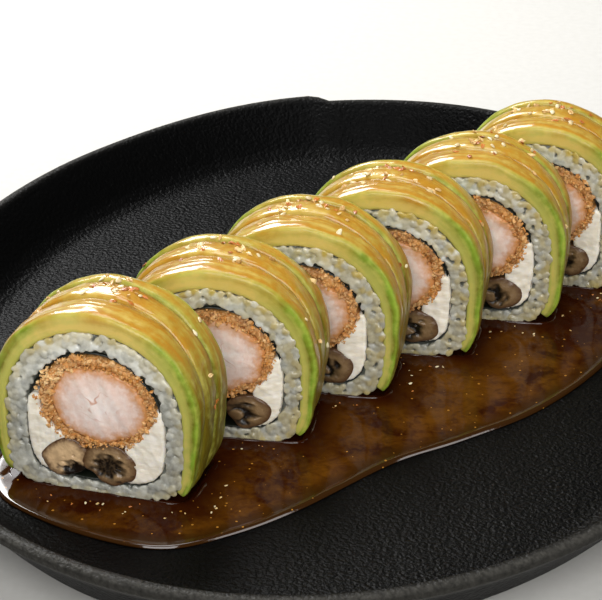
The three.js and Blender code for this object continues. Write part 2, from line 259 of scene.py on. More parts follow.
@dataclass(frozen=True)
class Wobble:
    """A smooth seeded unevenness, a few waves that never line up."""

    seed: int
    size: float
    waves: int = 7

    def at(self, points: Array) -> Array:
        """Reads the unevenness.

        Args:
            points: Places in millimetres, one to a row.

        Returns:
            One value for each place, mostly from -1 to 1.
        """
        rng = np.random.default_rng(self.seed)
        ways = rng.normal(size=(self.waves, points.shape[1]))
        ways /= np.linalg.norm(ways, axis=1, keepdims=True)
        lengths = self.size * rng.uniform(0.6, 1.7, self.waves)
        phases = rng.uniform(0.0, TAU, self.waves)
        return np.sin(points @ (ways * (TAU / lengths)[:, None]).T + phases).mean(axis=1) * 1.7


def start(primitive: Callable[..., Any], **sizes: Any) -> Piece:
    """Adds a primitive with nothing else selected.

    Args:
        primitive: The operator that adds it.
        sizes: The operator's settings.

    Returns:
        The new object.
    """
    bpy.ops.object.select_all(action="DESELECT")
    primitive(**sizes)
    return bpy.context.active_object


def points_of(piece: Piece) -> Array:
    """Reads a mesh's points.

    Args:
        piece: Object with the mesh.

    Returns:
        One row for each point.
    """
    flat = np.empty(len(piece.data.vertices) * 3, np.float32)
    piece.data.vertices.foreach_get("co", flat)
    return flat.reshape(-1, 3).astype(float)


def put_points(piece: Piece, points: Array) -> None:
    """Writes a mesh's points, in metres."""
    piece.data.vertices.foreach_set("co", np.asarray(points, np.float32).ravel())
    piece.data.update()


def ball(segments: int, rings: int) -> tuple[Piece, Array, Array]:
    """Starts a piece as a sphere.

    Args:
        segments: Faces round it.
        rings: Faces from pole to pole.

    Returns:
        The piece, and each point's angle round it and share of the way from pole to pole.
    """
    piece = start(bpy.ops.mesh.primitive_uv_sphere_add, segments=segments, ring_count=rings)
    x, y, z = points_of(piece).T
    return piece, np.arctan2(y, x), np.arcsin(np.clip(z, -1, 1)) / math.pi + 0.5


def hoop(around: int, section: int) -> tuple[Piece, Array, Array]:
    """Starts a piece as a torus.

    Args:
        around: Faces round the hoop.
        section: Faces round its section.

    Returns:
        The piece, and each point's angles round the hoop and round its section.
    """
    piece = start(bpy.ops.mesh.primitive_torus_add, major_segments=around, minor_segments=section,
                  major_radius=1.0, minor_radius=0.25)
    x, y, z = points_of(piece).T
    return piece, np.arctan2(y, x), np.arctan2(z, np.hypot(x, y) - 1)


def note(piece: Piece, **values: Array) -> None:
    """Keeps numbers for each point of a mesh, for its material to read.

    Args:
        piece: Object with the mesh.
        values: The numbers, by name.
    """
    for name, numbers in values.items():
        layer = piece.data.attributes.get(name) or piece.data.attributes.new(name, "FLOAT", "POINT")
        layer.data.foreach_set("value", np.asarray(numbers, np.float32))


def pick(piece: Piece) -> None:
    """Selects one object alone and makes it the active one.

    Args:
        piece: The object.
    """
    bpy.ops.object.select_all(action="DESELECT")
    piece.select_set(True)
    bpy.context.view_layer.objects.active = piece


def mend(piece: Piece, smooth: bool = True) -> None:
    """Merges a mesh's doubles, turns its faces outwards and shades it.

    Args:
        piece: Object with the mesh.
        smooth: Whether it is shaded smooth or faceted.
    """
    pick(piece)
    bpy.ops.object.mode_set(mode="EDIT")
    bpy.ops.mesh.select_all(action="SELECT")
    bpy.ops.mesh.remove_doubles(threshold=1e-7)
    bpy.ops.mesh.normals_make_consistent(inside=False)
    bpy.ops.object.mode_set(mode="OBJECT")
    (bpy.ops.object.shade_smooth if smooth else bpy.ops.object.shade_flat)()


def modify(piece: Piece, kind: str, **settings: Any) -> None:
    """Adds one modifier and applies it.

    Args:
        piece: Object that gets it.
        kind: Blender's name for the modifier type.
        settings: The modifier's settings.
    """
    pick(piece)
    modifier = piece.modifiers.new(kind.lower(), kind)
    for name, value in settings.items():
        setattr(modifier, name, value)
    bpy.ops.object.modifier_apply(modifier=modifier.name)


def settle(piece: Piece, points: Array, name: str, material: Material, slot: Slot, *nodes: str,
           smooth: bool = True, **notes: Array) -> None:
    """Shapes, names and dresses a piece, and says what it stands for.

    Args:
        piece: The piece.
        points: Its points in metres.
        name: Its name.
        material: Its finish.
        slot: Material slot of the record.
        nodes: CAD nodes that it replaces.
        smooth: Whether it is shaded smooth or faceted.
        notes: Numbers for each point that the finish reads.
    """
    put_points(piece, points)
    note(piece, **notes)
    mend(piece, smooth)
    piece.name = piece.data.name = name
    piece.data.materials.clear()
    piece.data.materials.append(material)
    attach(piece, "root")
    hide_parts(*nodes)
    log.info("%s: %d faces, stands for %s", name, len(piece.data.polygons), ", ".join(nodes))


@dataclass
class Litter:
    """Many copies of a small thing, joined to one mesh."""

    shape: Array
    faces: Array
    points: list[Array] = field(default_factory=list)
    tints: list[Array] = field(default_factory=list)
    stains: list[Array] = field(default_factory=list)

    @classmethod
    def of(cls, fineness: int) -> "Litter":
        """Takes the small thing from a ball of triangles, which is deleted.

        Args:
            fineness: How often the ball's faces are split.

        Returns:
            An empty litter, its shape one unit in half size.
        """
        piece = start(bpy.ops.mesh.primitive_ico_sphere_add, subdivisions=fineness, radius=1.0)
        made = cls(points_of(piece), np.array([tuple(face.vertices) for face in piece.data.polygons]))
        bpy.data.objects.remove(piece)
        return made

    def drop(self, points: Array, tint: float, stain: float = 0.0) -> None:
        """Adds a copy.

        Args:
            points: The copy's moved points.
            tint: Its shade.
            stain: How far sauce has stained it.
        """
        self.points.append(points)
        self.tints.append(np.full(len(points), tint))
        self.stains.append(np.full(len(points), stain))

    def build(self) -> Piece:
        """Joins the copies.

        Returns:
            The joined piece, with its points as they were dropped and notes "tint" and "stain".
        """
        step = np.arange(len(self.points))[:, None, None] * len(self.shape)
        mesh = bpy.data.meshes.new("litter")
        mesh.from_pydata(np.vstack(self.points), [], (self.faces[None] + step).reshape(-1, 3).tolist())
        piece = bpy.data.objects.new("litter", mesh)
        bpy.context.scene.collection.objects.link(piece)
        note(piece, tint=np.concatenate(self.tints), stain=np.concatenate(self.stains))
        mesh.shade_smooth()
        return piece


def turned(rng: Rng, spin: float, tip: float) -> Array:
    """Turns a small thing in the plane of its first two axes and tips it a little out of it.

    Args:
        rng: Source of the draws.
        spin: Turn in the plane, in radians.
        tip: Spread of the tip, in radians.

    Returns:
        A rotation with the thing's axes as columns.
    """
    roll, pitch = rng.normal(0.0, tip, 2)
    (cs, sn), (cr, sr), (cp, sp) = ((math.cos(angle), math.sin(angle)) for angle in (spin, roll, pitch))
    flat = np.array([[cs, -sn, 0], [sn, cs, 0], [0, 0, 1]])
    about_x = np.array([[1, 0, 0], [0, cr, -sr], [0, sr, cr]])
    about_y = np.array([[cp, 0, sp], [0, 1, 0], [-sp, 0, cp]])
    return flat @ about_y @ about_x


@dataclass(frozen=True)
class BlackStoneware:
    """Stoneware under a matt black glaze: near black, with a pebbled skin that glints point by point."""

    body: str = "#060606"
    bare: str = "#4C4A45"
    pebble: float = 1.3
    grit: float = 1.1
    relief: float = 0.4

    def make(self) -> Material:
        """Makes the glaze, worn to the bare clay along the lip.

        Returns:
            The material.
        """
        material, add, place = begin("matt_black_glazed_stoneware")
        pebbles = add("TexNoise", {
            "Vector": place, "Scale": per_metre(self.pebble), "Detail": 2.0, "Roughness": 0.6})
        grit = add("TexVoronoi", {"Vector": place, "Scale": per_metre(self.grit)}, feature="SMOOTH_F1")
        skin = add("Math", {0: grit, 1: -0.5, 2: pebbles}, operation="MULTIPLY_ADD")
        bump = add("Bump", {"Height": skin, "Strength": 1.0, "Distance": self.relief * MM})
        lip = add("Attribute", {}, "Fac", attribute_name="lip")
        worn = add("Math", {0: lip, 1: pebbles}, operation="MULTIPLY")
        colour = add("Mix", {FACTOR: worn, FIRST: self.body, SECOND: self.bare}, **COLOURS)
        rough = add("MapRange", {"Value": pebbles, "To Min": 0.3, "To Max": 0.5})
        return close(material, {"Base Color": colour, "Roughness": rough, "Normal": bump, "IOR": 1.33,
                                "Specular IOR Level": 0.08})


@dataclass(frozen=True)
class AmberSauce:
    """Sweet soy reduction: a mirror-smooth dark brown, golden olive where light gets through it."""

    deep: str = "#2E1003"
    thin: str = "#5E380A"
    band: str = "#331C05"
    speck: str = "#A8742C"
    cloud: float = 16.0
    streak: float = 3.0
    speckle: float = 2.2

    def make(self) -> Material:
        """Makes the sauce, clouded where oil and stock have not mixed, with a darker band inside its edge.

        Returns:
            The material.
        """
        material, add, place = begin("sweet_soy_sauce")
        clouds, streaks = (
            add("TexNoise", {"Vector": place, "Scale": per_metre(size), "Detail": detail, "Distortion": bend})
            for size, detail, bend in ((self.cloud, 5.0, 0.9), (self.streak, 4.0, 1.2)))
        edge, foot, wet = (
            add("Attribute", {}, "Fac", attribute_name=name) for name in ("edge", "foot", "wet"))
        mottle = add("Math", {0: streaks, 1: 0.4, 2: clouds}, operation="MULTIPLY_ADD")
        light = add("MapRange", {"Value": mottle, "From Min": 0.56, "From Max": 0.86})
        clear = add("MapRange", {"Value": foot, "From Max": 13.0})
        share = add("Math", {0: light, 1: clear}, operation="MULTIPLY", use_clamp=True)
        body = add("Mix", {FACTOR: share, FIRST: self.deep, SECOND: self.thin}, **COLOURS)
        inner = add("MapRange", {"Value": edge, "From Min": 2.5, "From Max": 7.0})
        pool = add("Mix", {FACTOR: inner, FIRST: self.band, SECOND: body}, **COLOURS)
        cells = add("TexVoronoi", {"Vector": place, "Scale": per_metre(self.speckle)})
        drawn = add("SeparateColor", {"Color": cells.node.outputs["Color"]})
        wide = add("MapRange", {"Value": drawn, "From Min": 0.45, "To Max": 0.17})
        dot = add("Math", {0: cells, 1: wide}, operation="LESS_THAN")
        colour = add("Mix", {FACTOR: dot, FIRST: pool, SECOND: self.speck}, **COLOURS)
        bump = add("Bump", {"Height": streaks, "Strength": 0.25, "Distance": 0.1 * MM})
        shine = add("MapRange", {"Value": wet, "To Min": 0.08})
        return close(material, {"Base Color": colour, "Roughness": 0.07, "IOR": 1.36, "Normal": bump,
                                "Specular IOR Level": shine})


@dataclass(frozen=True)
class SteamedRice:
    """Seasoned short-grain rice: greyish white and half clear, wet enough to shine, with a whiter heart."""

    name: str = "steamed_rice"
    clear: str = "#585A52"
    white: str = "#D4D4CC"
    sauced: str = "#B9A24C"
    starch: float = 1.1

    def make(self) -> Material:
        """Makes the rice from each grain's own shade and its stain of sauce.

        Returns:
            The material.
        """
        material, add, place = begin(self.name)
        hearts = add("TexNoise", {"Vector": place, "Scale": per_metre(self.starch), "Detail": 2.0})
        tint, stain = (add("Attribute", {}, "Fac", attribute_name=name) for name in ("tint", "stain"))
        share = add("Math", {0: hearts, 1: 0.5, 2: tint}, operation="MULTIPLY_ADD", use_clamp=True)
        grain = add("Mix", {FACTOR: share, FIRST: self.clear, SECOND: self.white}, **COLOURS)
        colour = add("Mix", {FACTOR: stain, FIRST: grain, SECOND: self.sauced}, **COLOURS)
        bump = add("Bump", {"Height": hearts, "Strength": 0.35, "Distance": 0.2 * MM})
        return close(material, {"Base Color": colour, "Roughness": 0.26, "IOR": 1.45, "Normal": bump,
                                "Subsurface Weight": 0.6, "Subsurface Scale": 1.8 * MM,
                                "Subsurface Radius": (1.0, 0.95, 0.8),
                                "Coat Weight": 0.25, "Coat Roughness": 0.12})


@dataclass(frozen=True)
class RoastedSeaweed:
    """Roasted seaweed gone soft: green-black, wrinkled and faintly moist."""

    dark: str = "#0B0D09"
    green: str = "#1B2114"
    wrinkle: float = 1.2

    def make(self) -> Material:
        """Makes the sheet with its wrinkles.

        Returns:
            The material.
        """
        material, add, place = begin("roasted_seaweed")
        folds = add("TexNoise", {"Vector": place, "Scale": per_metre(self.wrinkle), "Detail": 3.0})
        colour = add("Mix", {FACTOR: folds, FIRST: self.dark, SECOND: self.green}, **COLOURS)
        bump = add("Bump", {"Height": folds, "Strength": 0.8, "Distance": 0.3 * MM})
        return close(material, {"Base Color": colour, "Roughness": 0.5, "Normal": bump})


@dataclass(frozen=True)
class FriedCrumb:
    """Deep-fried breadcrumb: golden with browner edges, dry and broken into fine pores."""

    pale: str = "#F0CB92"
    gold: str = "#CB883C"
    brown: str = "#94541C"
    pore: float = 0.6
    patch: float = 3.0

    def make(self) -> Material:
        """Makes the crumb, browner in patches and by each crumb's own shade.

        Returns:
            The material.
        """
        material, add, place = begin("fried_breadcrumb")
        pores, patches = (add("TexNoise", {"Vector": place, "Scale": per_metre(size), "Detail": detail})
                          for size, detail in ((self.pore, 3.0), (self.patch, 2.0)))
        tint = add("Attribute", {}, "Fac", attribute_name="tint")
        dark = add("MapRange", {"Value": patches, "From Min": 0.42, "From Max": 0.72})
        fried = add("Mix", {FACTOR: dark, FIRST: self.gold, SECOND: self.brown}, **COLOURS)
        share = add("Math", {0: tint, 1: pores}, operation="MULTIPLY", use_clamp=True)
        colour = add("Mix", {FACTOR: share, FIRST: fried, SECOND: self.pale}, **COLOURS)
        bump = add("Bump", {"Height": pores, "Strength": 0.8, "Distance": 0.3 * MM})
        return close(material, {"Base Color": colour, "Roughness": 0.5, "Normal": bump,
                                "Subsurface Weight": 0.12, "Subsurface Scale": 0.8 * MM,
                                "Subsurface Radius": (1.0, 0.6, 0.3)})


@dataclass(frozen=True)
class CookedShrimp:
    """Cooked shrimp cut across: moist pinkish white muscle with a coral blush outside and fine dark veins."""

    flesh: str = "#E2C4B4"
    heart: str = "#F1E4DC"
    blush: str = "#CB8844"
    vein: str = "#BE7440"
    fibre: float = 1.4
    crack: float = 7.0

    def make(self) -> Material:
        """Makes the flesh by distance from its heart, with veins only near it.

        Returns:
            The material.
        """
        material, add, place = begin("cooked_shrimp")
        fibres = add("TexNoise", {"Vector": place, "Scale": per_metre(self.fibre), "Detail": 3.0})
        cracks = add("TexNoise", {
            "Vector": place, "Scale": per_metre(self.crack), "Detail": 1.0, "Distortion": 1.2})
        rim = add("Attribute", {}, "Fac", attribute_name="rim")
        blotch, edge = (add("Math", {0: fibres, 1: weight, 2: rim}, operation="MULTIPLY_ADD")
                        for weight in (0.9, 0.35))
        pale = add("MapRange", {"Value": blotch, "From Min": 0.55, "From Max": 1.25})
        inner = add("Mix", {FACTOR: pale, FIRST: self.heart, SECOND: self.flesh}, **COLOURS)
        warm = add("MapRange", {"Value": edge, "From Min": 0.9, "From Max": 1.13, "To Max": 0.92})
        outer = add("Mix", {FACTOR: warm, FIRST: inner, SECOND: self.blush}, **COLOURS)
        middle = add("Math", {0: cracks, 1: 0.5}, operation="SUBTRACT")
        away = add("Math", {0: middle}, operation="ABSOLUTE")
        line = add("MapRange", {
            "Value": away, "From Min": 0.006, "From Max": 0.026, "To Min": 0.65, "To Max": 0.0})
        near = add("MapRange", {"Value": rim, "From Min": 0.2, "From Max": 0.5, "To Min": 1.0, "To Max": 0.0})
        veined = add("Math", {0: line, 1: near}, operation="MULTIPLY")
        colour = add("Mix", {FACTOR: veined, FIRST: outer, SECOND: self.vein}, **COLOURS)
        bump = add("Bump", {"Height": fibres, "Strength": 0.5, "Distance": 0.3 * MM})
        return close(material, {"Base Color": colour, "Roughness": 0.36, "IOR": 1.42, "Normal": bump,
                                "Subsurface Weight": 0.3, "Subsurface Scale": 2.0 * MM,
                                "Subsurface Radius": (1.0, 0.6, 0.45),
                                "Coat Weight": 0.2, "Coat Roughness": 0.2})


@dataclass(frozen=True)
class CreamCheese:
    """Cream cheese dragged by the knife: ivory, soft-edged, with fine slanting smears."""

    ivory: str = "#F6EEDF"
    shade: str = "#E0D4BA"
    smear: float = 1.6
    slant: float = 35.0

    def make(self) -> Material:
        """Makes the cheese with smears that run with the cut.

        Returns:
            The material.
        """
        material, add, place = begin("cream_cheese")
        slant = add("Mapping", {
            "Vector": place, "Rotation": (0.0, math.radians(self.slant), 0.0), "Scale": (0.3, 1.0, 1.0)})
        smears = add("TexNoise", {
            "Vector": slant, "Scale": per_metre(self.smear), "Detail": 4.0, "Roughness": 0.6})
        share = add("MapRange", {"Value": smears, "From Min": 0.4, "From Max": 0.75})
        colour = add("Mix", {FACTOR: share, FIRST: self.ivory, SECOND: self.shade}, **COLOURS)
        bump = add("Bump", {"Height": smears, "Strength": 0.6, "Distance": 0.35 * MM})
        return close(material, {"Base Color": colour, "Roughness": 0.48, "Normal": bump,
                                "Subsurface Weight": 0.3, "Subsurface Scale": 1.5 * MM,
                                "Subsurface Radius": (1.0, 0.85, 0.6)})


@dataclass(frozen=True)
class SimmeredMushroom:
    """Mushroom simmered in sweet soy: tan flesh, a glossy browner skin and black-brown gills."""

    flesh: str = "#745A3A"
    tan: str = "#CBAA80"
    skin: str = "#553A24"
    gills: str = "#150E09"
    fibre: float = 0.9

    def make(self) -> Material:
        """Makes the flesh from notes of paleness, rim and gills.

        Returns:
            The material.
        """
        material, add, place = begin("simmered_mushroom")
        fibres = add("TexNoise", {"Vector": place, "Scale": per_metre(self.fibre), "Detail": 3.0})
        pale, rim, gill = (
            add("Attribute", {}, "Fac", attribute_name=name) for name in ("pale", "rim", "gill"))
        meat = add("Mix", {FACTOR: pale, FIRST: self.flesh, SECOND: self.tan}, **COLOURS)
        edge = add("Math", {0: fibres, 1: 0.3, 2: rim}, operation="MULTIPLY_ADD")
        outer = add("MapRange", {"Value": edge, "From Min": 0.8, "From Max": 1.12})
        skinned = add("Mix", {FACTOR: outer, FIRST: meat, SECOND: self.skin}, **COLOURS)
        frayed = add("Math", {0: fibres, 1: 0.5, 2: gill}, operation="MULTIPLY_ADD")
        black = add("MapRange", {"Value": frayed, "From Min": 0.45, "From Max": 1.1})
        colour = add("Mix", {FACTOR: black, FIRST: skinned, SECOND: self.gills}, **COLOURS)
        bump = add("Bump", {"Height": fibres, "Strength": 0.6, "Distance": 0.35 * MM})
        return close(material, {"Base Color": colour, "Roughness": 0.34, "IOR": 1.42, "Normal": bump,
                                "Coat Weight": 0.25, "Coat Roughness": 0.15})


@dataclass(frozen=True)
class GlazedAvocado:
    """Ripe avocado under a torched sweet glaze: yellow flesh, green by the skin, amber and wet on top."""

    butter: str = "#CFB662"
    leaf: str = "#B2AE56"
    moss: str = "#7C982E"
    olive: str = "#6A6018"
    lime: str = "#AFCC48"
    amber: str = "#B78528"
    caramel: str = "#86560E"
    mottle: float = 2.4
    streak: float = 2.2

    def make(self) -> Material:
        """Makes the flesh from its notes: flank, skin side, lime edge, glaze and crease.

        Returns:
            The material.
        """
        material, add, place = begin("glazed_avocado")
        mottles = add("TexNoise", {"Vector": place, "Scale": per_metre(self.mottle), "Detail": 4.0})
        low, faded, skin, lime, glaze, crease, run, cross = (
            add("Attribute", {}, "Fac", attribute_name=name)
            for name in ("low", "faded", "skin", "lime", "glaze", "crease", "run", "cross"))
        drawn = add("Math", {0: run, 1: 0.1}, operation="MULTIPLY")
        grain = add("CombineXYZ", {"X": drawn, "Y": cross})
        streaks = add("TexNoise", {
            "Vector": grain, "Scale": 1 / self.streak, "Detail": 3.0, "Distortion": 0.4})
        blotch = add("Math", {0: mottles, 1: 0.7, 2: streaks}, operation="MULTIPLY_ADD")
        fibre = add("MapRange", {
            "Value": blotch, "From Min": 0.6, "From Max": 1.1, "To Min": -0.65, "To Max": 0.65})
        lower, skinned, coated, mossy = (
            add("Math", {0: fibre, 1: weight, 2: value}, operation="MULTIPLY_ADD", use_clamp=True)
            for weight, value in ((0.8, low), (skin, skin), (glaze, glaze), (0.8, faded)))
        flesh = add("Mix", {FACTOR: lower, FIRST: self.butter, SECOND: self.leaf}, **COLOURS)
        outside = add("Mix", {FACTOR: mossy, FIRST: self.moss, SECOND: self.olive}, **COLOURS)
        greened = add("Mix", {FACTOR: skinned, FIRST: flesh, SECOND: outside}, **COLOURS)
        burnt = add("Math", {0: mottles, 1: 0.5, 2: crease}, operation="MULTIPLY_ADD")
        burn = add("MapRange", {"Value": burnt, "From Min": 0.2, "From Max": 1.1})
        sugar = add("Mix", {FACTOR: burn, FIRST: self.amber, SECOND: self.caramel}, **COLOURS)
        sweet = add("Mix", {FACTOR: coated, FIRST: greened, SECOND: sugar}, **COLOURS)
        colour = add("Mix", {FACTOR: lime, FIRST: sweet, SECOND: self.lime}, **COLOURS)
        ridges = add("Math", {0: streaks, 1: 0.25, 2: mottles}, operation="MULTIPLY_ADD")
        bump = add("Bump", {"Height": ridges, "Strength": 0.5, "Distance": 0.25 * MM})
        waves = add("MapRange", {"Value": glaze, "From Min": 0.3, "To Max": 0.6})
        ripple = add("Bump", {"Height": streaks, "Strength": waves, "Distance": 0.9 * MM})
        wet = add("MapRange", {"Value": glaze, "To Min": 0.12})
        return close(material, {"Base Color": colour, "Roughness": 0.4, "IOR": 1.4, "Normal": bump,
                                "Specular IOR Level": 0.12, "Subsurface Weight": 0.25,
                                "Subsurface Scale": 2.0 * MM, "Subsurface Radius": (1.0, 0.75, 0.25),
                                "Coat Weight": wet, "Coat Roughness": 0.06, "Coat Normal": ripple})


@dataclass(frozen=True)
class ToppingFinish:
    """A small topping in two shades, from one crumb to the next: dry-roasted, flaked or fried."""

    name: str
    dark: str
    light: str
    grain: float
    roughness: float

    def make(self) -> Material:
        """Makes the topping from each piece's own shade and a fine grain.

        Returns:
            The material.
        """
        material, add, place = begin(self.name)
        specks = add("TexNoise", {"Vector": place, "Scale": per_metre(self.grain), "Detail": 2.0})
        tint = add("Attribute", {}, "Fac", attribute_name="tint")
        share = add("Math", {0: specks, 1: 0.5, 2: tint}, operation="MULTIPLY_ADD", use_clamp=True)
        colour = add("Mix", {FACTOR: share, FIRST: self.dark, SECOND: self.light}, **COLOURS)
        bump = add("Bump", {"Height": specks, "Strength": 0.6, "Distance": 0.2 * MM})
        return close(material, {"Base Color": colour, "Roughness": self.roughness, "Normal": bump,
                                "Coat Weight": 0.3, "Coat Roughness": 0.1})


@dataclass(frozen=True)
class PaintedBoard:
    """Matt painted board of the studio: pale and even, with a faint roller texture."""

    pale: str = "#CFCDC8"
    shade: str = "#C4C2BC"
    stipple: float = 3.0

    def make(self) -> Material:
        """Makes the paint.

        Returns:
            The material.
        """
        material, add, place = begin("matt_painted_board")
        stipple = add("TexNoise", {"Vector": place, "Scale": per_metre(self.stipple)})
        colour = add("Mix", {FACTOR: stipple, FIRST: self.pale, SECOND: self.shade}, **COLOURS)
        return close(material, {"Base Color": colour, "Roughness": 0.8})


@dataclass(frozen=True)
class Vault:
    """The arched outline of a slice's section."""

    centre: float
    half_width: float
    top: float
    bottom: float
    waist: float
    crest: float
    foot: float

    def outline(self, height: float, grow: float = 0.0) -> Array:
        """Draws the outline.

        Args:
            height: The slice's height.
            grow: How far out to move it.

        Returns:
            Points across and up, evenly spaced, counterclockwise from the middle of the foot.
        """
        angle = np.linspace(-math.pi / 2, 1.5 * math.pi, FINE_STEPS * 2, endpoint=False)
        arch = np.sin(angle) >= 0
        bend = np.where(arch, 2 / self.crest, 2 / self.foot)
        reach = np.where(arch, self.top - self.waist, self.waist - self.bottom)
        across = self.centre + self.half_width * squared(np.cos(angle), bend)
        up = (self.waist + reach * squared(np.sin(angle), bend)) * height / SECTION_HEIGHT
        return swollen(spaced(np.stack([across, up], axis=1), FINE_STEPS), grow)


@dataclass(frozen=True)
class Oval:
    """A tilted oval in a slice's section, and where a mushroom has its gills, notch and stem."""

    across: float
    up: float
    half_width: float
    half_height: float
    tilt: float
    gills: float = 0.0
    notch: float = 0.0
    pale: float = 0.0
    dark: float = 0.95
    sunk: float = 0.4
    stem: float = 1.0

    def outline(self, height: float, grow: float = 0.0) -> Array:
        """Draws the outline.

        Args:
            height: The slice's height.
            grow: How far out to move it.

        Returns:
            Points across and up, counterclockwise.
        """
        angle = np.linspace(0.0, TAU, FINE_STEPS, endpoint=False)
        bite = 1 - self.notch * np.exp((np.cos(angle - math.radians(self.gills)) - 1) / 0.25)
        flat = np.stack([self.half_width * np.cos(angle), self.half_height * np.sin(angle)], axis=1)
        cs, sn = math.cos(math.radians(self.tilt)), math.sin(math.radians(self.tilt))
        line = flat * bite[:, None] @ np.array([[cs, sn], [-sn, cs]])
        return swollen((line + [self.across, self.up]) * [1.0, height / SECTION_HEIGHT], grow)


@dataclass(frozen=True)
class Place:
    """Where one slice stands, how high it is, its mushrooms, and how far sauce has soaked it."""

    number: int
    x: float
    y: float
    turn: float
    height: float
    caps: tuple[Oval, ...]
    sauced: float = 0.45

    def name(self, piece: str) -> str:
        """Names one of the slice's pieces."""
        return f"slice{self.number}_{piece}"

    def world(self, local: Array) -> Array:
        """Puts points of the slice in the part's frame.

        Args:
            local: Millimetres across, along the depth and up.

        Returns:
            The points in metres.
        """
        cs, sn = math.cos(math.radians(self.turn)), math.sin(math.radians(self.turn))
        x = self.x + local[:, 0] * cs - local[:, 1] * sn
        y = self.y + local[:, 0] * sn + local[:, 1] * cs
        return np.stack([x, y, local[:, 2] + FLOOR_TOP + TOUCH_GAP], axis=1) * MM

    def local(self, ground: Array) -> Array:
        """Gives ground points across and along the slice.

        Args:
            ground: Millimetres in the part's frame, x and y.

        Returns:
            Millimetres across and along the depth.
        """
        cs, sn = math.cos(math.radians(self.turn)), math.sin(math.radians(self.turn))
        away = ground - [self.x, self.y]
        return np.stack([away[:, 0] * cs + away[:, 1] * sn, away[:, 1] * cs - away[:, 0] * sn], axis=1)


RICE_VAULT = Vault(centre=-1.3, half_width=25.0, top=47.6, bottom=0.0, waist=23.0, crest=2.05, foot=5.2)
SEAWEED_VAULT = Vault(centre=-0.9, half_width=19.0, top=41.8, bottom=4.2, waist=22.0, crest=1.95, foot=4.4)
COAT_OVAL = Oval(across=-0.6, up=27.5, half_width=16.6, half_height=13.5, tilt=0.0)
SHRIMP_OVAL = Oval(across=0.2, up=26.9, half_width=13.5, half_height=10.8, tilt=-9.0)
END_CAPS = (
    Oval(-9.4, 10.2, 6.1, 4.9, tilt=24.0, gills=300.0, pale=1.0, sunk=0.95, stem=0.0),
    Oval(3.0, 10.0, 7.2, 5.2, tilt=-14.0, gills=250.0, pale=0.3, dark=0.85, sunk=0.15, stem=0.0),
)
MIDDLE_CAPS = (
    Oval(-5.4, 10.2, 6.0, 4.5, tilt=18.0, gills=255.0, notch=0.1, pale=0.15),
    Oval(8.6, 10.1, 5.8, 4.6, tilt=6.0, gills=205.0, notch=0.1, pale=0.1),
)
PLACES = (
    Place(1, x=-45.0, y=-99.6, turn=-6.4, height=53.0, caps=END_CAPS, sauced=0.1),
    Place(2, x=-21.1, y=-64.3, turn=0.9, height=51.0, caps=MIDDLE_CAPS),
    Place(3, x=-2.9, y=-33.7, turn=-0.6, height=51.8, caps=MIDDLE_CAPS),
    Place(4, x=17.3, y=-4.5, turn=-0.5, height=52.0, caps=MIDDLE_CAPS),
    Place(5, x=38.9, y=22.8, turn=-0.7, height=52.5, caps=MIDDLE_CAPS[1:]),
    Place(6, x=57.2, y=51.5, turn=-3.0, height=53.2, caps=MIDDLE_CAPS[1:]),
)


@dataclass(frozen=True)
class Ring:
    """A ring through a slice, squared to a wall between two outlines."""

    around: int = 160
    section: int = 24
    square: float = 0.4

    def build(self, outer: Array, inner: Array, front: float, back: float) -> tuple[Piece, Array]:
        """Starts the ring from a torus.

        Args:
            outer: Outer outline, across and up.
            inner: Inner outline.
            front: Depth of its front face.
            back: Depth of its back face.

        Returns:
            The piece, and its points in the slice.
        """
        piece, angle, turn = hoop(self.around, self.section)
        share = angle / TAU + 0.25
        wall = (1 - squared(np.cos(turn), self.square)) / 2
        along = (1 + squared(np.sin(turn), self.square)) / 2
        flat = lerp(on_loop(outer, share), on_loop(inner, share), wall[:, None])
        return piece, np.stack([flat[:, 0], lerp(front, back, along), flat[:, 1]], axis=1)


@dataclass(frozen=True)
class Bar:
    """A bar through a slice with one outline, soft-edged and domed at its cut faces."""

    around: int = 96
    rings: int = 48
    face: float = 0.38
    edge: float = 0.12

    def build(self, outline: Array, dome: float, soft: float) -> tuple[Piece, Array, Array]:
        """Starts the bar from a sphere.

        Args:
            outline: Its outline, across and up.
            dome: How far the middle of a face stands out.
            soft: How far an edge is rounded off.

        Returns:
            The piece, its points in the slice, and each point's share of the way from the axis out.
        """
        piece, angle, along = ball(self.around, self.rings)
        way = np.minimum(along, 1 - along)
        reach = np.clip(way / self.face, 0.0, 1.0)
        flat = lerp(outline.mean(axis=0), on_loop(outline, angle / TAU), reach[:, None])
        rounding = np.clip((reach - (1 - self.edge)) / self.edge, 0.0, 1.0)
        deep = soft * (1 - np.sqrt(np.clip(1 - rounding ** 2, 0.0, 1.0))) - dome * (1 - reach ** 2)
        side = np.clip((along - self.face) / (1 - 2 * self.face), 0.0, 1.0)
        depth = lerp(deep, SLICE_DEPTH - deep, np.where(way < self.face, along > 0.5, side))
        return piece, np.stack([flat[:, 0], depth, flat[:, 1]], axis=1), reach


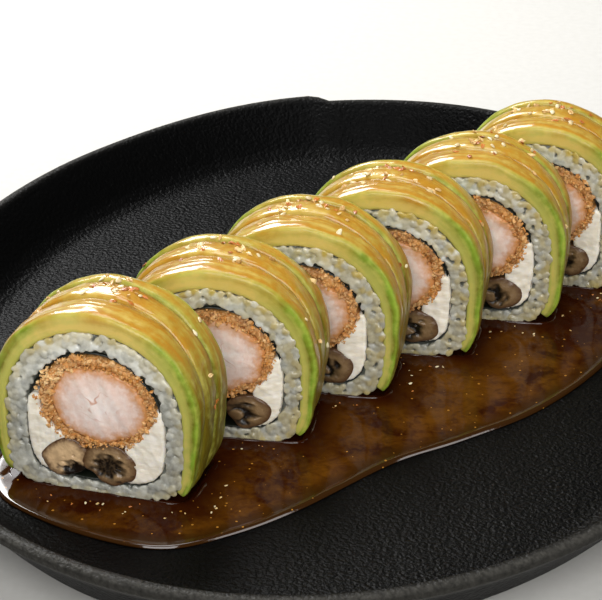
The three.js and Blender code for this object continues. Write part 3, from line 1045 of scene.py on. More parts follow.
@dataclass
class RiceRing:
    """The rice of a slice: a core of packed rice, with grains stuck together over both faces."""

    place: Place
    spacing: float = 1.35
    grain: tuple[float, float, float] = (1.7, 0.95, 0.95)
    end_on: float = 0.3
    edge: float = 0.7
    rim_inset: float = 0.4
    core_depth: float = 1.5
    core_tint: float = 0.25
    crust: tuple[float, float] = (0.92, 2.1)
    knife: tuple[float, float] = (-0.45, 0.05)
    pressed: float = 0.2
    voxel: float = 0.31
    pit: tuple[float, float] = (0.3, 0.9)
    pit_shade: float = 0.25
    tries: int = 4000
    outer: Array = field(init=False)
    inner: Array = field(init=False)

    def __post_init__(self) -> None:
        """Draws the outlines that the rice lies between."""
        self.outer = RICE_VAULT.outline(self.place.height)
        self.inner = SEAWEED_VAULT.outline(self.place.height, grow=0.1)

    def build(self, packed: Material, grains: Material) -> None:
        """Builds and dresses the rice.

        Args:
            packed: Finish of the core.
            grains: Finish of the grains.
        """
        name = self.place.name
        core = self._wall(self.core_depth, SLICE_DEPTH - self.core_depth)
        clean = np.zeros(len(core.data.vertices))
        settle(core, points_of(core), name("rice_core"), packed, Slot.RICE, name("rice"),
               tint=clean + self.core_tint, stain=clean)
        litter = Litter.of(2)
        rng = np.random.default_rng(500 + self.place.number)
        for face in Face:
            self._pack(litter, rng, face)
        spread = litter.build()
        put_points(spread, self.place.world(points_of(spread)))
        near, far = self.crust
        walls = (self._wall(near, far), self._wall(SLICE_DEPTH - far, SLICE_DEPTH - near))
        mend(spread)
        for wall in walls:
            wall.select_set(True)
        bpy.ops.object.join()
        modify(spread, "REMESH", mode="VOXEL", voxel_size=self.voxel * MM)
        modify(spread, "SMOOTH", factor=0.5, iterations=1)
        points = points_of(spread)
        tint, stain = self._shades(points, litter)
        settle(spread, points, name("rice_grains"), grains, Slot.RICE, name("rice"), tint=tint, stain=stain)

    def _wall(self, front: float, back: float) -> Piece:
        """Makes a plain ring of rice.

        Args:
            front: Depth of its front face.
            back: Depth of its back face.

        Returns:
            The ring.
        """
        piece, points = Ring().build(swollen(self.outer, -self.rim_inset), self.inner, front, back)
        put_points(piece, self.place.world(points))
        mend(piece)
        return piece

    def _shades(self, points: Array, litter: Litter) -> tuple[Array, Array]:
        """Shades the grains' joined skin by the grains that lie nearest, darker in the pits between them.

        Args:
            points: The skin's points in metres.
            litter: The grains with their own shades.

        Returns:
            Tint and stain for each point.
        """
        grains = KDTree(len(litter.points))
        for index, body in enumerate(litter.points):
            grains.insert(self.place.world(body).mean(axis=0), index)
        grains.balance()
        nearest = [grains.find_n(point, 2) for point in points]
        order = np.array([[index for _, index, _ in found] for found in nearest])
        closeness = 1 / (np.array([[away for _, _, away in found] for found in nearest]) / MM) ** 4
        closeness /= closeness.sum(axis=1, keepdims=True)
        shades = np.array([[tint[0], stain[0]] for tint, stain in zip(litter.tints, litter.stains)])
        tint, stain = (shades[order] * closeness[:, :, None]).sum(axis=1).T
        depth = self.place.local(points[:, :2] / MM)[:, 1]
        pit = smoothstep(*self.pit, np.minimum(depth, SLICE_DEPTH - depth))
        return tint * (1 - pit) - self.pit_shade * pit, stain * (1 - pit)

    def _pack(self, litter: Litter, rng: Rng, face: Face) -> None:
        """Packs grains over a face until no more go in.

        Args:
            litter: Where the grains go.
            rng: Source of the draws.
            face: The face.
        """
        shares = rng.uniform(size=self.tries)
        rims, cores = on_loop(self.outer, shares), on_loop(self.inner, shares)
        walls = np.linalg.norm(rims - cores, axis=1)
        deep = self.edge + np.maximum(walls - 2 * self.edge, 0.0) * rng.uniform(size=self.tries)
        spots = lerp(rims, cores, (deep / walls)[:, None])
        kept = np.full((self.tries, 2), 1e6)
        laid = 0
        for spot, way, wall, sunk in zip(spots, on_loop(outward(self.outer), shares), walls, deep):
            if np.min(np.hypot(*(kept[:laid + 1] - spot).T)) < self.spacing:
                continue
            kept[laid] = spot
            laid += 1
            half = np.array(self.grain) * rng.uniform(0.86, 1.12)
            if rng.uniform() < self.end_on:
                half = np.array([half[1] * 1.15, half[2], half[0] * 0.8])
            inside = min(sunk, wall - sunk) / wall
            spin = math.atan2(way[0], -way[1]) + rng.normal(0.0, 0.3 + 1.5 * inside)
            body = (litter.shape * half) @ turned(rng, spin, tip=0.25).T
            cut = rng.uniform(*self.knife)
            over = body[:, 2] + rng.uniform(0.1, 0.65) - cut
            depth = face.depth(cut + (over + np.sqrt(over ** 2 + self.pressed ** 2)) / 2)
            up = np.maximum(spot[1] + body[:, 1], -0.1)
            rind = smoothstep(0.75, 0.0, sunk / wall)
            high = smoothstep(0.45, 0.85, spot[1] / self.place.height)
            stain = lerp(0.5, 0.95, high) * rind * rng.uniform(0.1, 0.9) + self.place.sauced * rng.uniform()
            tint = lerp(0.25, 1.0, rng.uniform() ** 1.3) * lerp(0.5, 1.0, high)
            litter.drop(np.stack([spot[0] + body[:, 0], depth, up], axis=1), tint, min(stain, 1.0))


@dataclass
class SeaweedSheet:
    """The seaweed sheet between rice and filling, wrinkled along its cut edge."""

    place: Place
    thickness: float = 0.5
    inset: float = 0.2
    ripple: float = 0.2

    def build(self, finish: Material) -> None:
        """Builds and dresses the sheet.

        Args:
            finish: Its finish.
        """
        name, number = self.place.name, self.place.number
        outer, inner = (SEAWEED_VAULT.outline(self.place.height, grow) for grow in (0.1, -self.thickness))
        piece, points = Ring(around=220, section=12, square=0.5).build(
            outer, inner, self.inset, SLICE_DEPTH - self.inset)
        points[:, 1] += self.ripple * Wobble(61 + number, size=5.0).at(points)
        points[:, 0] += self.ripple * Wobble(81 + number, size=7.0).at(points)
        settle(piece, self.place.world(points), name("seaweed_sheet"), finish, Slot.SEAWEED, name("seaweed"))


@dataclass
class TempuraShrimp:
    """The fried shrimp: a domed bar of flesh in a craggy coat with loose crumbs at the cut."""

    place: Place
    dome: float = 0.5
    soft: float = 0.5
    crag: float = 0.45
    coat_inset: float = 0.3
    crumbs: int = 900
    crumb_size: tuple[float, float] = (0.15, 0.7)
    lump_at: float = 150.0
    lump_width: float = 28.0

    def build(self, flesh: Material, crumb: Material) -> None:
        """Builds and dresses flesh, coat and crumbs.

        Args:
            flesh: Finish of the shrimp.
            crumb: Finish of coat and crumbs.
        """
        place, seed = self.place, self.place.number * 10
        line = SHRIMP_OVAL.outline(place.height)
        line = swollen(line, 0.6 * Wobble(seed + 1, size=9.0).at(line))
        shrimp, points, rim = Bar().build(line, self.dome, self.soft)
        points[:, 1] += 0.25 * Wobble(seed + 2, size=5.0).at(points)
        self._settle(shrimp, points, "shrimp_flesh", flesh, rim=rim)
        outer = COAT_OVAL.outline(place.height)
        outer = swollen(outer, self.crag * Wobble(seed + 3, size=4.0).at(outer))
        inner = swollen(line, -(0.5 + 0.5 * Wobble(seed + 6, size=3.0).at(line)))
        coat, points = Ring(around=260, section=36, square=0.5).build(
            outer, inner, self.coat_inset, SLICE_DEPTH - self.coat_inset)
        rng = np.random.default_rng(seed + 4)
        points += rng.normal(0.0, 0.1, points.shape)
        for size, share in ((2.4, 1.0), (1.1, 0.6)):
            points[:, 1] += self.crag * share * Wobble(seed + 5, size).at(points)
        self._settle(coat, points, "crumb_coat", crumb, tint=rng.uniform(0.0, 0.8, len(points)))
        spread = self._scatter(outer, inner, rng)
        self._settle(spread, points_of(spread), "loose_crumbs", crumb, smooth=False)

    def _settle(self, piece: Piece, points: Array, name: str, finish: Material, **rest: Any) -> None:
        """Settles a piece of the shrimp, given by its points in the slice."""
        settle(piece, self.place.world(points), self.place.name(name), finish, Slot.TEMPURA,
               self.place.name("tempura_shrimp"), **rest)

    def _scatter(self, outer: Array, inner: Array, rng: Rng) -> Piece:
        """Strews crumbs over both faces of the coat, paler and larger in one lump.

        Args:
            outer: Outer outline of the coat.
            inner: Inner outline.
            rng: Source of the draws.

        Returns:
            The joined crumbs, in the slice.
        """
        litter = Litter.of(1)
        for face in Face:
            shares = rng.uniform(0.0, 1.0, self.crumbs)
            walls = rng.uniform(-0.08, 0.98, self.crumbs)[:, None]
            spots = lerp(on_loop(outer, shares), on_loop(inner, shares), walls)
            lumps = np.exp(-((shares * 360.0 - self.lump_at) / self.lump_width) ** 2)
            for spot, lump, size in zip(spots, lumps, rng.uniform(0.0, 1.0, self.crumbs) ** 2.5):
                half = lerp(*self.crumb_size, np.clip(size + 0.3 * lump, 0, 1)) * rng.uniform(0.5, 1.5, 3)
                jag = rng.uniform(0.6, 1.4, (len(litter.shape), 1))
                body = (litter.shape * half * jag) @ turned(rng, rng.uniform(0, TAU), tip=0.8).T
                depth = face.depth(body[:, 2] + rng.uniform(-0.35, 0.4) - 0.5 * lump * rng.uniform())
                litter.drop(np.stack([spot[0] + body[:, 0], depth, spot[1] + body[:, 1]], axis=1),
                            rng.uniform(0.0, 1.0) + 0.9 * lump)
        return litter.build()


@dataclass
class Filling:
    """Cream cheese and mushrooms under the shrimp."""

    place: Place
    voxel: float = 0.5
    swell: float = 0.7
    proud: float = 0.1
    cap_grow: float = 0.6
    cap_proud: float = 0.35
    cap_dome: float = 0.7
    cap_soft: float = 0.1
    lumps: float = 0.55
    hollow: float = 1.1
    gill_spokes: int = 17

    def build(self, cheese: Material, mushroom: Material) -> None:
        """Builds and dresses the filling.

        Args:
            cheese: Finish of the cheese.
            mushroom: Finish of the mushrooms.
        """
        sides = ("left", "right")
        for side in sides:
            self._cheese(self.place.name(f"cheese_{side}"), cheese)
        for side, cap in zip(sides[-len(self.place.caps):], self.place.caps):
            self._cap(self.place.name(f"mushroom_{side}"), cap, mushroom)

    def _cheese(self, node: str, finish: Material) -> None:
        """Softens and swells a copy of the cheese's solid, so that it fills its corner.

        Args:
            node: The cheese's CAD node.
            finish: Its finish.
        """
        piece = bpy.data.objects.new(node + "_fill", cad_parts[node].data.copy())
        bpy.context.scene.collection.objects.link(piece)
        mend(piece)
        modify(piece, "REMESH", mode="VOXEL", voxel_size=self.voxel * MM)
        modify(piece, "SMOOTH", factor=0.5, iterations=6)
        modify(piece, "DISPLACE", strength=2 * self.swell * MM, mid_level=0.5)
        points = points_of(piece) / MM
        flat = self.place.local(points[:, :2])
        seed = self.place.number * 7 + len(node)
        depth = np.clip(flat[:, 1], -self.proud, SLICE_DEPTH + self.proud)
        depth = depth + 0.2 * Wobble(seed, size=4.0).at(points)
        depth = depth + 0.12 * Wobble(seed + 3, size=1.5).at(points)
        points = np.stack([flat[:, 0], depth, points[:, 2] - FLOOR_TOP - TOUCH_GAP], axis=1)
        settle(piece, self.place.world(points), node + "_fill", finish, Slot.CHEESE, node)

    def _cap(self, node: str, cap: Oval, finish: Material) -> None:
        """Builds a mushroom with its gills sunk behind the cut, round the stub of its stem.

        Args:
            node: The mushroom's CAD node.
            cap: Its section.
            finish: Its finish.
        """
        number, height = self.place.number, self.place.height
        line = cap.outline(height, self.cap_grow)
        line = swollen(line, self.lumps * Wobble(number * 3 + len(node), size=7.0).at(line))
        piece, points, rim = Bar(rings=72).build(line, self.cap_dome, self.cap_soft)
        middle = np.array([cap.across, cap.up * height / SECTION_HEIGHT])
        away = (points[:, [0, 2]] - middle) / [cap.half_width, cap.half_height]
        toward = np.array([math.cos(math.radians(cap.gills)), math.sin(math.radians(cap.gills))])
        stub = np.linalg.norm(away - toward * 0.6, axis=1)
        cave = away - toward * cap.sunk
        ragged = 1 + 0.35 * Wobble(number + 5, size=0.5).at(away)
        spokes = 0.96 + 0.04 * np.sin(self.gill_spokes * np.arctan2(cave[:, 1], cave[:, 0]))
        gill = smoothstep(0.95, 0.35, np.linalg.norm(cave, axis=1) * ragged)
        gill = gill * (1 - cap.stem * smoothstep(0.42, 0.26, stub * ragged)) * cap.dark * spokes
        inwards = np.where(points[:, 1] < SLICE_DEPTH / 2, 1.0, -1.0)
        within = smoothstep(0.95, 0.55, np.linalg.norm(away, axis=1))
        points[:, 1] += inwards * (gill * self.hollow * within - self.cap_proud)
        points[:, 1] += 0.2 * Wobble(number * 5 + len(node), size=3.0).at(points)
        settle(piece, self.place.world(points), node + "_cap", finish, Slot.MUSHROOM, node,
               rim=rim, gill=gill, pale=np.full(len(points), cap.pale))


@dataclass(frozen=True)
class AvocadoSlice:
    """One slice of the drape: where it starts and ends at the crest, and its cover along the depth."""

    name: str
    start: float
    end: float
    front: float
    back: float
    lean: tuple[float, float] = (-5.5, -2.5)

    def edges(self, share: Array) -> tuple[Array, Array]:
        """Finds where the slice starts and ends along the depth.

        Args:
            share: Share of the way over the roll, from the left foot to the right.

        Returns:
            Depth of the start and of the end.
        """
        side = 2 * share - 1
        lean = self.lean[0] * side + self.lean[1] * side ** 2
        return (self.start + (lean if self.start > 0 else 0 * side),
                self.end + (lean if self.end < SLICE_DEPTH else 0 * side))


@dataclass
class AvocadoDrape:
    """The three avocado slices over a roll, shingled from front to back."""

    place: Place
    slices: tuple[AvocadoSlice, ...] = (
        AvocadoSlice("front", start=0.0, end=11.2, front=1.0, back=0.88),
        AvocadoSlice("middle", start=11.2, end=20.6, front=1.0, back=0.89),
        AvocadoSlice("back", start=20.6, end=SLICE_DEPTH, front=1.0, back=0.86),
    )
    gap: float = 0.7
    crest_cover: float = 4.7
    foot_cover: float = 1.3
    foot_level: float = 1.1
    under: float = -0.6
    sunk: float = -0.8
    hump: float = 0.11
    stray: float = 0.4
    overlap: float = 0.5
    around: int = 72
    rings: int = 120
    square: float = 0.36
    end_run: float = 0.06

    def over(self, share: Array) -> tuple[Array, Array]:
        """Reads the way over the roll.

        Args:
            share: Share of the way, from the left foot to the right.

        Returns:
            Point and outward normal for each share.
        """
        outline = RICE_VAULT.outline(self.place.height)
        normal = outward(outline)
        covered = (outline[:, 1] > self.foot_level) & (normal[:, 1] > self.under)
        way = np.hstack([outline, normal])[covered][::-1]
        at = np.clip(share, 0.0, 1.0) * (len(way) - 1)
        found = np.stack([np.interp(at, np.arange(len(way)), column) for column in way.T], axis=1)
        return found[:, :2], found[:, 2:] / np.linalg.norm(found[:, 2:], axis=1, keepdims=True)

    def top(self, part: AvocadoSlice, share: Array, across: Array) -> Array:
        """Gives how far a slice's upper surface stands off the rice.

        Args:
            part: The avocado slice.
            share: Share of the way over the roll.
            across: Share of the way from its front edge to its back edge.

        Returns:
            Millimetres off the rice.
        """
        cover = lerp(self.foot_cover, self.crest_cover, np.sin(math.pi * np.clip(share, 0, 1)) ** 0.8)
        return self.gap + cover * (lerp(part.front, part.back, across) + self.hump * np.sin(math.pi * across))

    def build(self, finish: Material) -> None:
        """Bends the three slices over the roll, each from a sphere with its poles at the feet.

        Args:
            finish: Their finish.
        """
        for part in self.slices:
            piece, turn, along = ball(self.around, self.rings)
            near_end = np.clip(np.minimum(along, 1 - along) / self.end_run, 0.0, 1.0)
            taper = np.sqrt(np.clip(1 - (1 - near_end) ** 2, 0.0, 1.0))
            across = (1 + squared(np.cos(turn), self.square) * taper) / 2
            high = squared(np.sin(turn), self.square) * taper
            share = np.clip((along - self.end_run * 0.5) / (1 - self.end_run), 0.0, 1.0)
            seed = self.place.number * 17 + len(part.name)
            first, last = part.edges(share)
            if part.start > 0:
                line = np.stack([share * GIRTH, np.zeros_like(share)], axis=1)
                first = first + self.stray * Wobble(seed, size=30.0).at(line)
            if part.end < SLICE_DEPTH:
                last = last + self.overlap
            depth = lerp(first, last, across)
            sheet = np.stack([share * GIRTH, across * 9], axis=1)
            uneven = (0.3 * Wobble(seed + 5, size=18.0).at(sheet)
                      + 0.12 * Wobble(seed + 6, size=6.0).at(sheet))
            lift = lerp(self.sunk, self.top(part, share, across), (1 + high) / 2) + uneven * (high > 0)
            spot, normal = self.over(share)
            flat = spot + normal * lift[:, None]
            points = np.stack([flat[:, 0], depth, np.maximum(flat[:, 1], 0.1)], axis=1)
            node = self.place.name(f"avocado_{part.name}")
            settle(piece, self.place.world(points), node + "_slice", finish, Slot.AVOCADO, node,
                   **self._notes(part, share, depth - first, last - depth, high, seed))

    def _notes(self, part: AvocadoSlice, share: Array, fore: Array, aft: Array, high: Array,
               seed: int) -> dict[str, Array]:
        """Works out where flesh, skin side, lime edge, glaze and crease show.

        Args:
            part: The avocado slice.
            share: Share of the way over the roll, for each point.
            fore: Millimetres behind its front edge.
            aft: Millimetres before its back edge.
            high: From -1 underneath to 1 on top.
            seed: Seed of its patches.

        Returns:
            The notes that its finish reads.
        """
        def patchy(step: int, size: float, across: Array, middle: float, spread: float) -> Array:
            """Gives patches from 0 to 1 along the slice."""
            wave = Wobble(seed + step, size).at(np.stack([share * GIRTH, across], axis=1))
            return np.clip(middle + spread * wave, 0.0, 1.0)

        side = np.abs(2 * share - 1)
        first, last = float(part.start <= 0), float(part.end >= SLICE_DEPTH)
        patch = patchy(8, 26.0, fore, 0.6, 0.6)
        drips = patchy(9, 15.0, 2 * high, 0.45, 0.7)
        leafy = patchy(10, 12.0, 4 * high, 0.6, 0.8)
        on_top = smoothstep(0.2, 0.9, high)
        below = (1 - high) * 2.2
        flank = smoothstep(0.22, 0.5, side)
        corner = np.exp(-(np.hypot(fore, below) / 0.8) ** 2) * lerp(0.15, 0.45, flank) * lerp(0.2, 1.0, first)
        heel = np.exp(-(np.hypot(aft - 0.3, below) / 1.3) ** 2) * 0.6 * last
        behind = 0.6 * np.exp(-((fore - 1.3) / 0.6) ** 2) * flank * first
        wide = lerp(2.6, 6.5, smoothstep(0.48, 0.25, share))
        hind = smoothstep(1.0, 0.35, aft / wide) * last * lerp(0.45, 1.0, smoothstep(0.08, 0.35, side))
        band = smoothstep(-0.2, 0.4, high) * smoothstep(1.0, 0.75, high) * smoothstep(0.12, 0.4, side) * first
        fresh = np.clip(behind + hind + band * lerp(0.35, 1.0, leafy), 0.0, 1.0)
        skin = on_top * lerp(0.25 + 0.2 * last, 0.95, smoothstep(0.2, 0.7, side)) + fresh
        face = 0.8 * smoothstep(-0.9, 0.9, high) * smoothstep(1.0, 0.2, fore) * drips
        dry = (1.05 - self.place.sauced) * smoothstep(0.2, 0.8, side)
        laid = on_top * smoothstep(0.2, 1.6, fore + 1.2 * (1 - first - last)) * (1 - dry)
        glaze = laid + face * (1 - 0.95 * smoothstep(0.12, 0.55, side))
        return {
            "low": smoothstep(0.0, 0.45, side),
            "faded": smoothstep(0.15, 0.6, side) * (1 - fresh),
            "skin": np.clip(skin, 0.0, 1.0),
            "lime": np.clip((corner + heel) * patch, 0.0, 1.0),
            "glaze": glaze * (1 - 0.85 * hind) * lerp(0.55, 1.0, patch),
            "crease": smoothstep(4.0, 0.6, aft) * on_top * (1 - last),
            "run": share * GIRTH,
            "cross": fore + 3 * (1 - high) + 40.0 * len(part.name),
        }


@dataclass
class Toppings:
    """One kind of topping on the crests, with strays on the flanks and in the sauce."""

    name: str
    half: tuple[float, float, float]
    rugged: float
    seed: int
    per_crest: int = 7
    strays: int = 3
    in_sauce: int = 34
    faceted: float = 0.2
    litter: Litter = field(init=False)
    rng: Rng = field(init=False)

    def build(self, finish: Material) -> None:
        """Builds and dresses the topping as one piece.

        Args:
            finish: Its finish.
        """
        self.litter = Litter.of(2)
        self.rng = np.random.default_rng(self.seed)
        for place in PLACES:
            self._crest(AvocadoDrape(place))
        self._sauce()
        piece = self.litter.build()
        nodes = [place.name(f"avocado_{part}") for place in PLACES for part in ("front", "middle")]
        settle(piece, points_of(piece) * MM, self.name, finish, Slot.AVOCADO, *nodes,
               smooth=self.rugged < self.faceted)

    def _bit(self, size: float, tip: float) -> Array:
        """Shapes and turns one bit.

        Args:
            size: Its size, as a share of the usual one.
            tip: Spread of its tip, in radians.

        Returns:
            Its points round its own middle.
        """
        shape, rng = self.litter.shape, self.rng
        body = shape * rng.uniform(1 - self.rugged, 1 + self.rugged, (len(shape), 1))
        body[:, 1:] *= (1 - 0.35 * body[:, :1])
        body = body * (np.array(self.half) * size) * rng.uniform(0.65, 1.1)
        return body @ turned(rng, rng.uniform(0, TAU), tip).T

    def _crest(self, drape: AvocadoDrape) -> None:
        """Strews bits over one roll slice.

        Args:
            drape: The avocado that they lie on.
        """
        rng = self.rng
        for index in range(self.per_crest + self.strays):
            stray = index >= self.per_crest
            share = np.array([rng.uniform(0.15, 0.85) if stray else rng.normal(0.5, 0.045)])
            depth = rng.uniform(2.0, 24.0) if stray else np.clip(rng.normal(15.5, 4.0), 3.0, 24.0)
            for part in drape.slices:
                first, last = (edge[0] for edge in part.edges(share))
                if depth < last:
                    break
            across = np.clip(np.array([(depth - first) / (last - first)]), 0.05, 0.95)
            lift = drape.top(part, share, across)[0]
            spot, normal = (found[0] for found in drape.over(share))
            body = self._bit(size=1.0, tip=0.35)
            tangent = np.array([normal[1], -normal[0]])
            flat = spot + normal * (lift + self.half[2] * 0.45)
            flat = flat + body[:, :1] * tangent + body[:, 2:] * normal
            points = np.stack([flat[:, 0], depth + body[:, 1], flat[:, 1]], axis=1)
            self.litter.drop(drape.place.world(points) / MM, rng.uniform(0.0, 0.9))

    def _sauce(self) -> None:
        """Strews small bits in the sauce along the near feet of the slices."""
        rng = self.rng
        for _ in range(self.in_sauce):
            place = PLACES[rng.integers(len(PLACES))]
            across = rng.uniform(-24, 32)
            along = rng.uniform(-9.0, -2.5) if across < 26 else rng.uniform(-6.0, 20.0)
            centre = place.world(np.array([[across, along, 0.0]]))[0] / MM
            body = self._bit(size=rng.uniform(0.25, 0.55), tip=0.3)
            up = Sauce.depth + FLOOR_TOP + 0.15
            self.litter.drop(body + [centre[0], centre[1], up], rng.uniform(0.0, 0.9))


@dataclass
class Plate:
    """The oval plate: a turned profile, pulled out to its uneven oval with one thumbed lug on the rim."""

    half_width: float = 125.6
    half_length: float = 167.5
    rim_height: float = 20.0
    # Inset from the rim and height, from the foot over the lip to the floor.
    wall: tuple[tuple[float, float], ...] = (
        (18.0, 0.0), (15.5, 1.6), (10.0, 7.8), (4.5, 14.0), (0.4, 17.6), (0.3, 19.2), (1.8, 20.0),
        (4.0, 19.9), (7.9, 15.8), (11.6, 11.2), (15.0, 7.2), (18.4, 4.9), (21.5, FLOOR_TOP))
    wall_foot: float = 21.5
    wall_steps: int = 61
    level_inset: float = 30.0
    waves: tuple[tuple[float, int, float], ...] = ((0.7, 3, 0.6), (0.5, 5, 2.1))
    lug_start: tuple[float, float] = (103.6, 105.8)
    lug_end: tuple[float, float] = (142.0, 36.2)
    lug_reach: float = 4.4
    lug_lift: float = 0.8
    rim_lift: float = 0.7
    sectors: int = 240
    floor_rings: int = 26

    def profile(self) -> list[tuple[float, float]]:
        """Lists the turned profile.

        Returns:
            Radius and height from the middle of the foot, round the lip, to the middle of the floor.
        """
        knots = np.array(self.wall)
        steps = np.linspace(0, len(knots) - 1, self.wall_steps)
        line = np.stack([np.interp(steps, np.arange(len(knots)), knots[:, axis]) for axis in (0, 1)], axis=1)
        line[1:-1] = (line[:-2] + 2 * line[1:-1] + line[2:]) / 4
        wall = [(self.half_width - inset, height) for inset, height in line]
        reach = wall[-1][0]
        rings = range(1, self.floor_rings + 1)
        floor = [(reach * (1 - step / self.floor_rings), FLOOR_TOP) for step in rings]
        return [(0.0, 0.0), (wall[0][0] * 0.5, 0.0)] + wall + floor

    def build(self, finish: Material) -> None:
        """Spins the profile, pulls it out to the oval and dresses it.

        Args:
            finish: Its finish.
        """
        piece = start(bpy.ops.mesh.primitive_plane_add, size=1.0)
        points = self.profile()
        bpy.ops.object.mode_set(mode="EDIT")
        bpy.ops.mesh.select_all(action="SELECT")
        bpy.ops.mesh.merge(type="CENTER")
        for (r0, z0), (r1, z1) in zip(points, points[1:]):
            bpy.ops.mesh.extrude_vertices_move(TRANSFORM_OT_translate={"value": (r1 - r0, 0.0, z1 - z0)})
        bpy.ops.mesh.select_all(action="SELECT")
        bpy.ops.mesh.spin(steps=self.sectors, angle=TAU, center=(0, 0, 0), axis=(0, 0, 1))
        bpy.ops.mesh.select_all(action="SELECT")
        bpy.ops.mesh.remove_doubles(threshold=1e-3)
        bpy.ops.object.mode_set(mode="OBJECT")
        placed, lip = self._oval(points_of(piece))
        settle(piece, placed * MM, "oval_plate", finish, Slot.STONEWARE, "plate", lip=lip)

    def _oval(self, points: Array) -> tuple[Array, Array]:
        """Pulls the round turning out to the oval.

        Args:
            points: Points of the turning.

        Returns:
            The oval's points, and how near each one is to the lip.
        """
        angle = np.arctan2(points[:, 1], points[:, 0])
        radius = np.hypot(points[:, 0], points[:, 1])
        inset = np.minimum(self.half_width - radius, self.level_inset)
        degrees = np.degrees(angle) % 360
        end, run = self.lug_end
        lug = smoothstep(0.0, run, end - degrees) * smoothstep(*self.lug_start, degrees)
        rim = np.stack([self.half_width * np.cos(angle), self.half_length * np.sin(angle)], axis=1)
        normal = np.stack([self.half_length * np.cos(angle), self.half_width * np.sin(angle)], axis=1)
        normal /= np.linalg.norm(normal, axis=1, keepdims=True)
        share = np.clip(1 - inset / self.wall_foot, 0.0, 1.0)
        swell = sum(size * np.cos(count * angle + phase) for size, count, phase in self.waves)
        swell = swell + self.lug_reach * lug
        lift = self.rim_lift * np.cos(4 * angle + 1.3) + self.lug_lift * lug
        flat = rim + normal * (swell * share - inset)[:, None]
        flat *= np.minimum(1.0, radius / (self.half_width - self.level_inset))[:, None]
        up = points[:, 2] + lift * share * points[:, 2] / self.rim_height
        upper = (points[:, 2] > FLOOR_TOP - 0.5) & (inset > 4.0)
        up = up + 0.1 * Wobble(3, size=14.0).at(flat) * upper
        lip = np.exp(-((inset - 1.5) / 1.6) ** 2) * (points[:, 2] > self.rim_height - 4)
        return np.stack([flat[:, 0], flat[:, 1], up], axis=1), lip


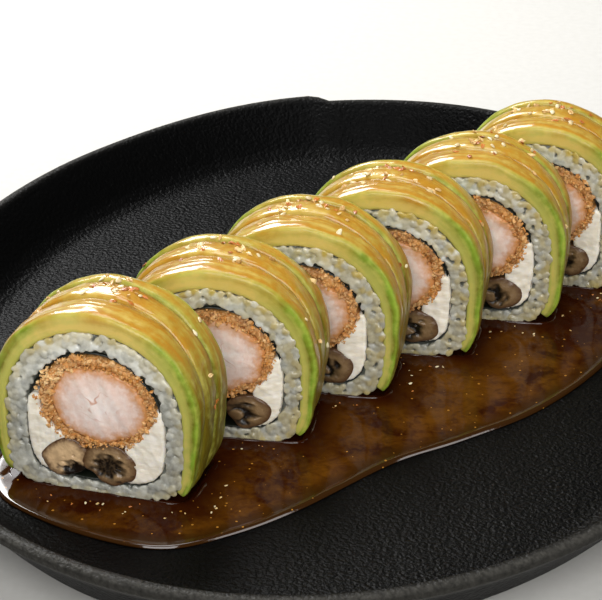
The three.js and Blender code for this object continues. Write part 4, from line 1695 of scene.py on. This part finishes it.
@dataclass
class Sauce:
    """The pool of sauce: a rounded edge, a level top that climbs a little at each slice's foot."""

    depth: float = 0.95
    bevel: tuple[float, float] = (0.35, 0.6)
    edge_run: float = 1.7
    climb: float = 0.3
    climb_run: float = 1.2
    under_food: float = 0.15
    bead: float = 0.5
    bead_reach: tuple[float, float] = (1.3, 0.3)
    bead_square: float = 0.25
    bead_around: int = 360
    bead_section: int = 10
    sectors: int = 440
    rings: int = 112
    under_share: float = 0.1
    # The pool's outline from above, counterclockwise from its near left.
    knots: tuple[tuple[float, float], ...] = (
        (-62.8, -111.4), (-42.8, -120.4), (-22.8, -122.9), (-6.8, -112.9), (8.2, -96.9), (28.2, -68.9),
        (45.2, -52.9), (64.2, -31.9), (79.2, -3.9), (88.2, 26.1), (91.2, 54.1), (84.2, 80.1), (57.2, 92.1),
        (27.2, 88.1), (7.2, 59.1), (-13.8, 32.1), (-33.8, 1.1), (-52.8, -29.9), (-73.8, -63.9),
        (-77.8, -87.9), (-72.8, -102.4))

    def build(self, finish: Material) -> None:
        """Builds and dresses the pool, from a sphere pressed flat inside the outline, and its beads.

        Args:
            finish: Finish of the sauce.
        """
        outline = spaced(closed_curve(np.array(self.knots, float), steps=30), FINE_STEPS * 2)
        middle = outline.mean(axis=0)
        piece, angle, along = ball(self.sectors, self.rings)
        share = angle / TAU
        under = along < self.under_share
        upper = np.clip((along - self.under_share) / (1 - self.under_share), 0.0, 1.0)
        reach = np.where(under, along / self.under_share, 1 - upper ** 1.6)
        flat = lerp(middle, on_loop(outline, share), reach[:, None])
        slant = np.sum(outward(outline) * (outline - middle), axis=1, keepdims=True)
        edge = (1 - reach) * on_loop(slant, share)[:, 0]
        height, foot = self._surface(flat, edge)
        up = FLOOR_TOP + TOUCH_GAP * 0.4 + np.where(under, 0.0, height)
        settle(piece, np.stack([flat[:, 0], flat[:, 1], up], axis=1) * MM, "sauce_pool", finish, Slot.SAUCE,
               "sauce", edge=edge, foot=foot, wet=smoothstep(2.6, 1.2, edge))
        for place in PLACES:
            self._drawn_up(place, finish)

    def _drawn_up(self, place: Place, finish: Material) -> None:
        """Runs a broken bead of sauce round the foot of a slice, where it has been drawn up.

        Args:
            place: The slice.
            finish: Finish of the sauce.
        """
        angle = np.linspace(0.0, TAU, FINE_STEPS, endpoint=False)
        reach = np.array([RICE_VAULT.half_width, SLICE_DEPTH / 2]) + self.bead_reach
        corner = np.stack([squared(wave(angle), self.bead_square) for wave in (np.cos, np.sin)], axis=1)
        loop = spaced(corner * reach + [RICE_VAULT.centre, SLICE_DEPTH / 2], FINE_STEPS)
        piece, around, turn = hoop(self.bead_around, self.bead_section)
        line, normal = on_loop(loop, around / TAU), on_loop(outward(loop), around / TAU)
        thick = self.bead * (1 + 0.5 * Wobble(place.number + 40, size=8.0).at(line))
        flat = line + normal * (thick * np.cos(turn))[:, None]
        up = self.depth - TOUCH_GAP + thick * np.sin(turn)
        still = np.zeros(len(up))
        settle(piece, place.world(np.column_stack([flat, up])), place.name("sauce_bead"), finish, Slot.SAUCE,
               "sauce", edge=still + 9.0, foot=still, wet=still + 1.0)

    def _surface(self, flat: Array, edge: Array) -> tuple[Array, Array]:
        """Works out the sauce's top.

        Args:
            flat: Ground points.
            edge: Their distance to the pool's edge.

        Returns:
            Height over the plate's floor, and distance to the nearest slice.
        """
        run, rise = self.bevel
        round_in = smoothstep(0.0, self.edge_run, edge)
        height = rise * np.clip(edge / run, 0.0, 1.0)
        height = height + (self.depth - rise) * (1 - np.exp(-np.maximum(edge - run, 0.0) / run))
        foot = np.full(len(flat), 100.0)
        for place in PLACES:
            across, along = place.local(flat).T
            beside = np.maximum(np.abs(across - RICE_VAULT.centre) - RICE_VAULT.half_width - 1.5, 0.0)
            before = np.maximum(np.maximum(-along, along - SLICE_DEPTH), 0.0)
            within = np.minimum(along, SLICE_DEPTH - along)
            inside = np.minimum(RICE_VAULT.half_width - np.abs(across), within)
            foot = np.minimum(foot, np.where(inside > 2.0, -1.0, np.hypot(beside, before)))
        height = height + self.climb * np.exp(-np.maximum(foot, 0.0) / self.climb_run)
        height = np.where(foot < 0, self.under_food, height)
        return height + 0.06 * Wobble(9, size=15.0).at(flat) * round_in, foot


@dataclass
class Studio:
    """Camera, pale floor and soft lights."""

    target: tuple[float, float, float] = (-14.0, 24.3, 6.0)
    azimuth: float = 10.41
    elevation: float = 25.55
    distance: float = 720.4
    focal_pixels: float = 2331.5
    frame_pixels: float = 602.0
    sensor: float = 36.0
    # Name, place, size and watts.
    lights: tuple[tuple[str, tuple[float, float, float], float, float], ...] = (
        ("window_softbox", (-470.0, 620.0, 690.0), 480.0, 12.5),
        ("front_fill", (70.0, -820.0, 560.0), 700.0, 8.8),
        ("side_fill", (760.0, -300.0, 360.0), 360.0, 1.7),
        ("overhead", (-60.0, 40.0, 1000.0), 500.0, 4.0),
    )
    ambient: float = 0.045
    air: str = "#DDE2E8"

    def build(self, floor: Material) -> None:
        """Sets up camera, floor, lights and surroundings.

        Args:
            floor: Finish of the floor.
        """
        aim = Vector(self.target) * MM
        turn, rise = math.radians(self.azimuth), math.radians(self.elevation)
        way = Vector((math.sin(turn) * math.cos(rise), -math.cos(turn) * math.cos(rise), math.sin(rise)))
        bpy.ops.object.camera_add(location=aim + way * self.distance * MM)
        camera = bpy.context.active_object
        camera.rotation_euler = (-way).to_track_quat("-Z", "Y").to_euler()
        camera.data.sensor_width = self.sensor
        camera.data.lens = self.sensor * self.focal_pixels / self.frame_pixels
        camera.data.clip_start = 0.01
        bpy.context.scene.camera = camera
        ground = start(bpy.ops.mesh.primitive_plane_add, size=6.0)
        ground.name = "studio_floor"
        ground.data.materials.append(floor)
        for name, spot, size, power in self.lights:
            bpy.ops.object.light_add(type="AREA", location=Vector(spot) * MM)
            lamp = bpy.context.active_object
            lamp.name = name
            lamp.data.size = size * MM
            lamp.data.energy = power
            lamp.rotation_euler = (aim - lamp.location).to_track_quat("-Z", "Y").to_euler()
        world = bpy.data.worlds.new("studio_air")
        world.use_nodes = True
        world.node_tree.nodes["Background"].inputs["Color"].default_value = linear(self.air)
        world.node_tree.nodes["Background"].inputs["Strength"].default_value = self.ambient
        bpy.context.scene.world = world
        bpy.context.scene.view_settings.view_transform = "Standard"


def main() -> None:
    """Builds the plate, the sauce, the six slices and the studio."""
    logging.basicConfig(level=logging.INFO, format="%(message)s", force=True)
    Studio().build(PaintedBoard().make())
    Plate().build(BlackStoneware().make())
    Sauce().build(AmberSauce().make())
    packed = SteamedRice("packed_steamed_rice", clear="#5E5E52", white="#B9B7AC").make()
    grains, seaweed, flesh, crumb, cheese, mushroom, avocado = (
        finish().make() for finish in (SteamedRice, RoastedSeaweed, CookedShrimp, FriedCrumb, CreamCheese,
                                       SimmeredMushroom, GlazedAvocado))
    for place in PLACES:
        RiceRing(place).build(packed, grains)
        SeaweedSheet(place).build(seaweed)
        TempuraShrimp(place).build(flesh, crumb)
        Filling(place).build(cheese, mushroom)
        AvocadoDrape(place).build(avocado)
    Toppings("sesame_seeds", half=(1.2, 0.72, 0.38), rugged=0.1, seed=11).build(
        ToppingFinish("roasted_sesame", "#BFA266", "#EBDDB4", grain=0.8, roughness=0.4).make())
    Toppings("chilli_flakes", half=(1.05, 0.65, 0.24), rugged=0.5, seed=23).build(
        ToppingFinish("chilli_flake", "#8A4412", "#C8782E", grain=0.5, roughness=0.35).make())
    Toppings("crisp_bits", half=(1.15, 0.6, 0.4), rugged=0.55, seed=37).build(
        ToppingFinish("fried_crisp", "#B9853E", "#EBCB8C", grain=0.6, roughness=0.45).make())


if __name__ == "__main__":
    main()
